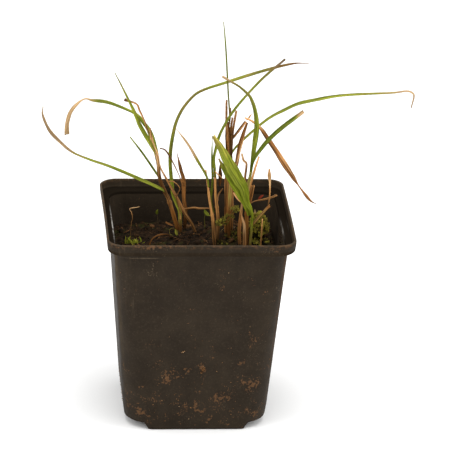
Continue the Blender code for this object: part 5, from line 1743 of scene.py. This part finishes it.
class MISCANTHUS_OT_stage(bpy.types.Operator):
    """Lays the pale floor and sets the soft light and the camera"""

    bl_idname = "miscanthus.stage"
    bl_label = "Stage"

    def execute(self, context):
        scene = context.scene
        settings = scene.miscanthus_stage
        reach, level = 6.0, -0.05 * MM
        turns = ((-1, -1), (1, -1), (1, 1), (-1, 1))
        corners = [(x * reach, y * reach, level) for x, y in turns]
        mesh = bpy.data.meshes.new("floor")
        mesh.from_pydata(corners, [], [(0, 1, 2, 3)])
        mesh.materials.append(floor_material())
        floor = bpy.data.objects.new("floor", mesh)
        scene.collection.objects.link(floor)

        world = bpy.data.worlds.new("soft_surround")
        world.use_nodes = True
        tree = world.node_tree
        soft = tree.nodes["Background"]
        soft.inputs["Color"].default_value = (1.0, 1.0, 1.0, 1.0)
        soft.inputs["Strength"].default_value = settings.surround
        backdrop = add_node(tree, "ShaderNodeBackground", {"Color": (1.0, 1.0, 1.0, 1.0), "Strength": 1.0})
        seen = add_node(tree, "ShaderNodeLightPath").outputs["Is Camera Ray"]
        inputs = {0: seen, 1: soft.outputs[0], 2: backdrop.outputs[0]}
        choice = add_node(tree, "ShaderNodeMixShader", inputs)
        tree.links.new(choice.outputs[0], tree.nodes["World Output"].inputs["Surface"])
        scene.world = world

        for name, place, size, share in LAMPS:
            data = bpy.data.lights.new(name, "AREA")
            data.shape = "DISK"
            data.size = size
            data.energy = settings.lamp * share
            lamp = bpy.data.objects.new(name, data)
            lamp.location = place
            lamp.rotation_euler = (LAMP_TARGET - Vector(place)).to_track_quat("-Z", "Y").to_euler()
            scene.collection.objects.link(lamp)

        data = bpy.data.cameras.new("camera")
        data.sensor_width = 36.0
        data.lens = CAMERA_LENS
        data.clip_end = 50.0
        camera = bpy.data.objects.new("camera", data)
        looking = (CAMERA_AIM - CAMERA_PLACE).to_track_quat("-Z", "Y").to_matrix()
        roll = Matrix.Rotation(math.radians(CAMERA_ROLL), 3, "Z")
        camera.rotation_euler = (looking @ roll).to_euler()
        camera.location = CAMERA_PLACE
        scene.collection.objects.link(camera)
        scene.camera = camera
        scene.view_settings.view_transform = "Standard"
        return {"FINISHED"}


class MISCANTHUS_PT_build(bpy.types.Panel):
    """Lists the settings and the builders"""

    bl_idname = "MISCANTHUS_PT_build"
    bl_label = "Miscanthus in a pot"
    bl_space_type = "VIEW_3D"
    bl_region_type = "UI"
    bl_category = "Miscanthus"

    def draw(self, context):
        layout = self.layout
        for group in SETTINGS:
            box = layout.box()
            box.label(text=group.replace("_", " ").capitalize())
            settings = getattr(context.scene, group)
            for name in settings.__annotations__:
                box.prop(settings, name)
        for builder in BUILDERS:
            layout.operator(builder.bl_idname)


SETTINGS = {
    "miscanthus_pot": PotSettings,
    "miscanthus_compost": CompostSettings,
    "miscanthus_plant": PlantSettings,
    "miscanthus_moss": MossSettings,
    "miscanthus_stage": StageSettings,
}
BUILDERS = (
    MISCANTHUS_OT_pot,
    MISCANTHUS_OT_compost,
    MISCANTHUS_OT_loose_bits,
    MISCANTHUS_OT_left_tuft,
    MISCANTHUS_OT_middle_tuft,
    MISCANTHUS_OT_right_tuft,
    MISCANTHUS_OT_ground_twigs,
    MISCANTHUS_OT_moss,
    MISCANTHUS_OT_seedlings,
    MISCANTHUS_OT_stage,
)


def register():
    for group, kind in SETTINGS.items():
        bpy.utils.register_class(kind)
        setattr(bpy.types.Scene, group, bpy.props.PointerProperty(type=kind))
    for builder in BUILDERS:
        bpy.utils.register_class(builder)
    bpy.utils.register_class(MISCANTHUS_PT_build)


def unregister():
    bpy.utils.unregister_class(MISCANTHUS_PT_build)
    for builder in reversed(BUILDERS):
        bpy.utils.unregister_class(builder)
    for group, kind in SETTINGS.items():
        delattr(bpy.types.Scene, group)
        bpy.utils.unregister_class(kind)


def main():
    register()
    for builder in BUILDERS:
        family, name = builder.bl_idname.split(".")
        getattr(getattr(bpy.ops, family), name)()


if __name__ == "__main__":
    main()
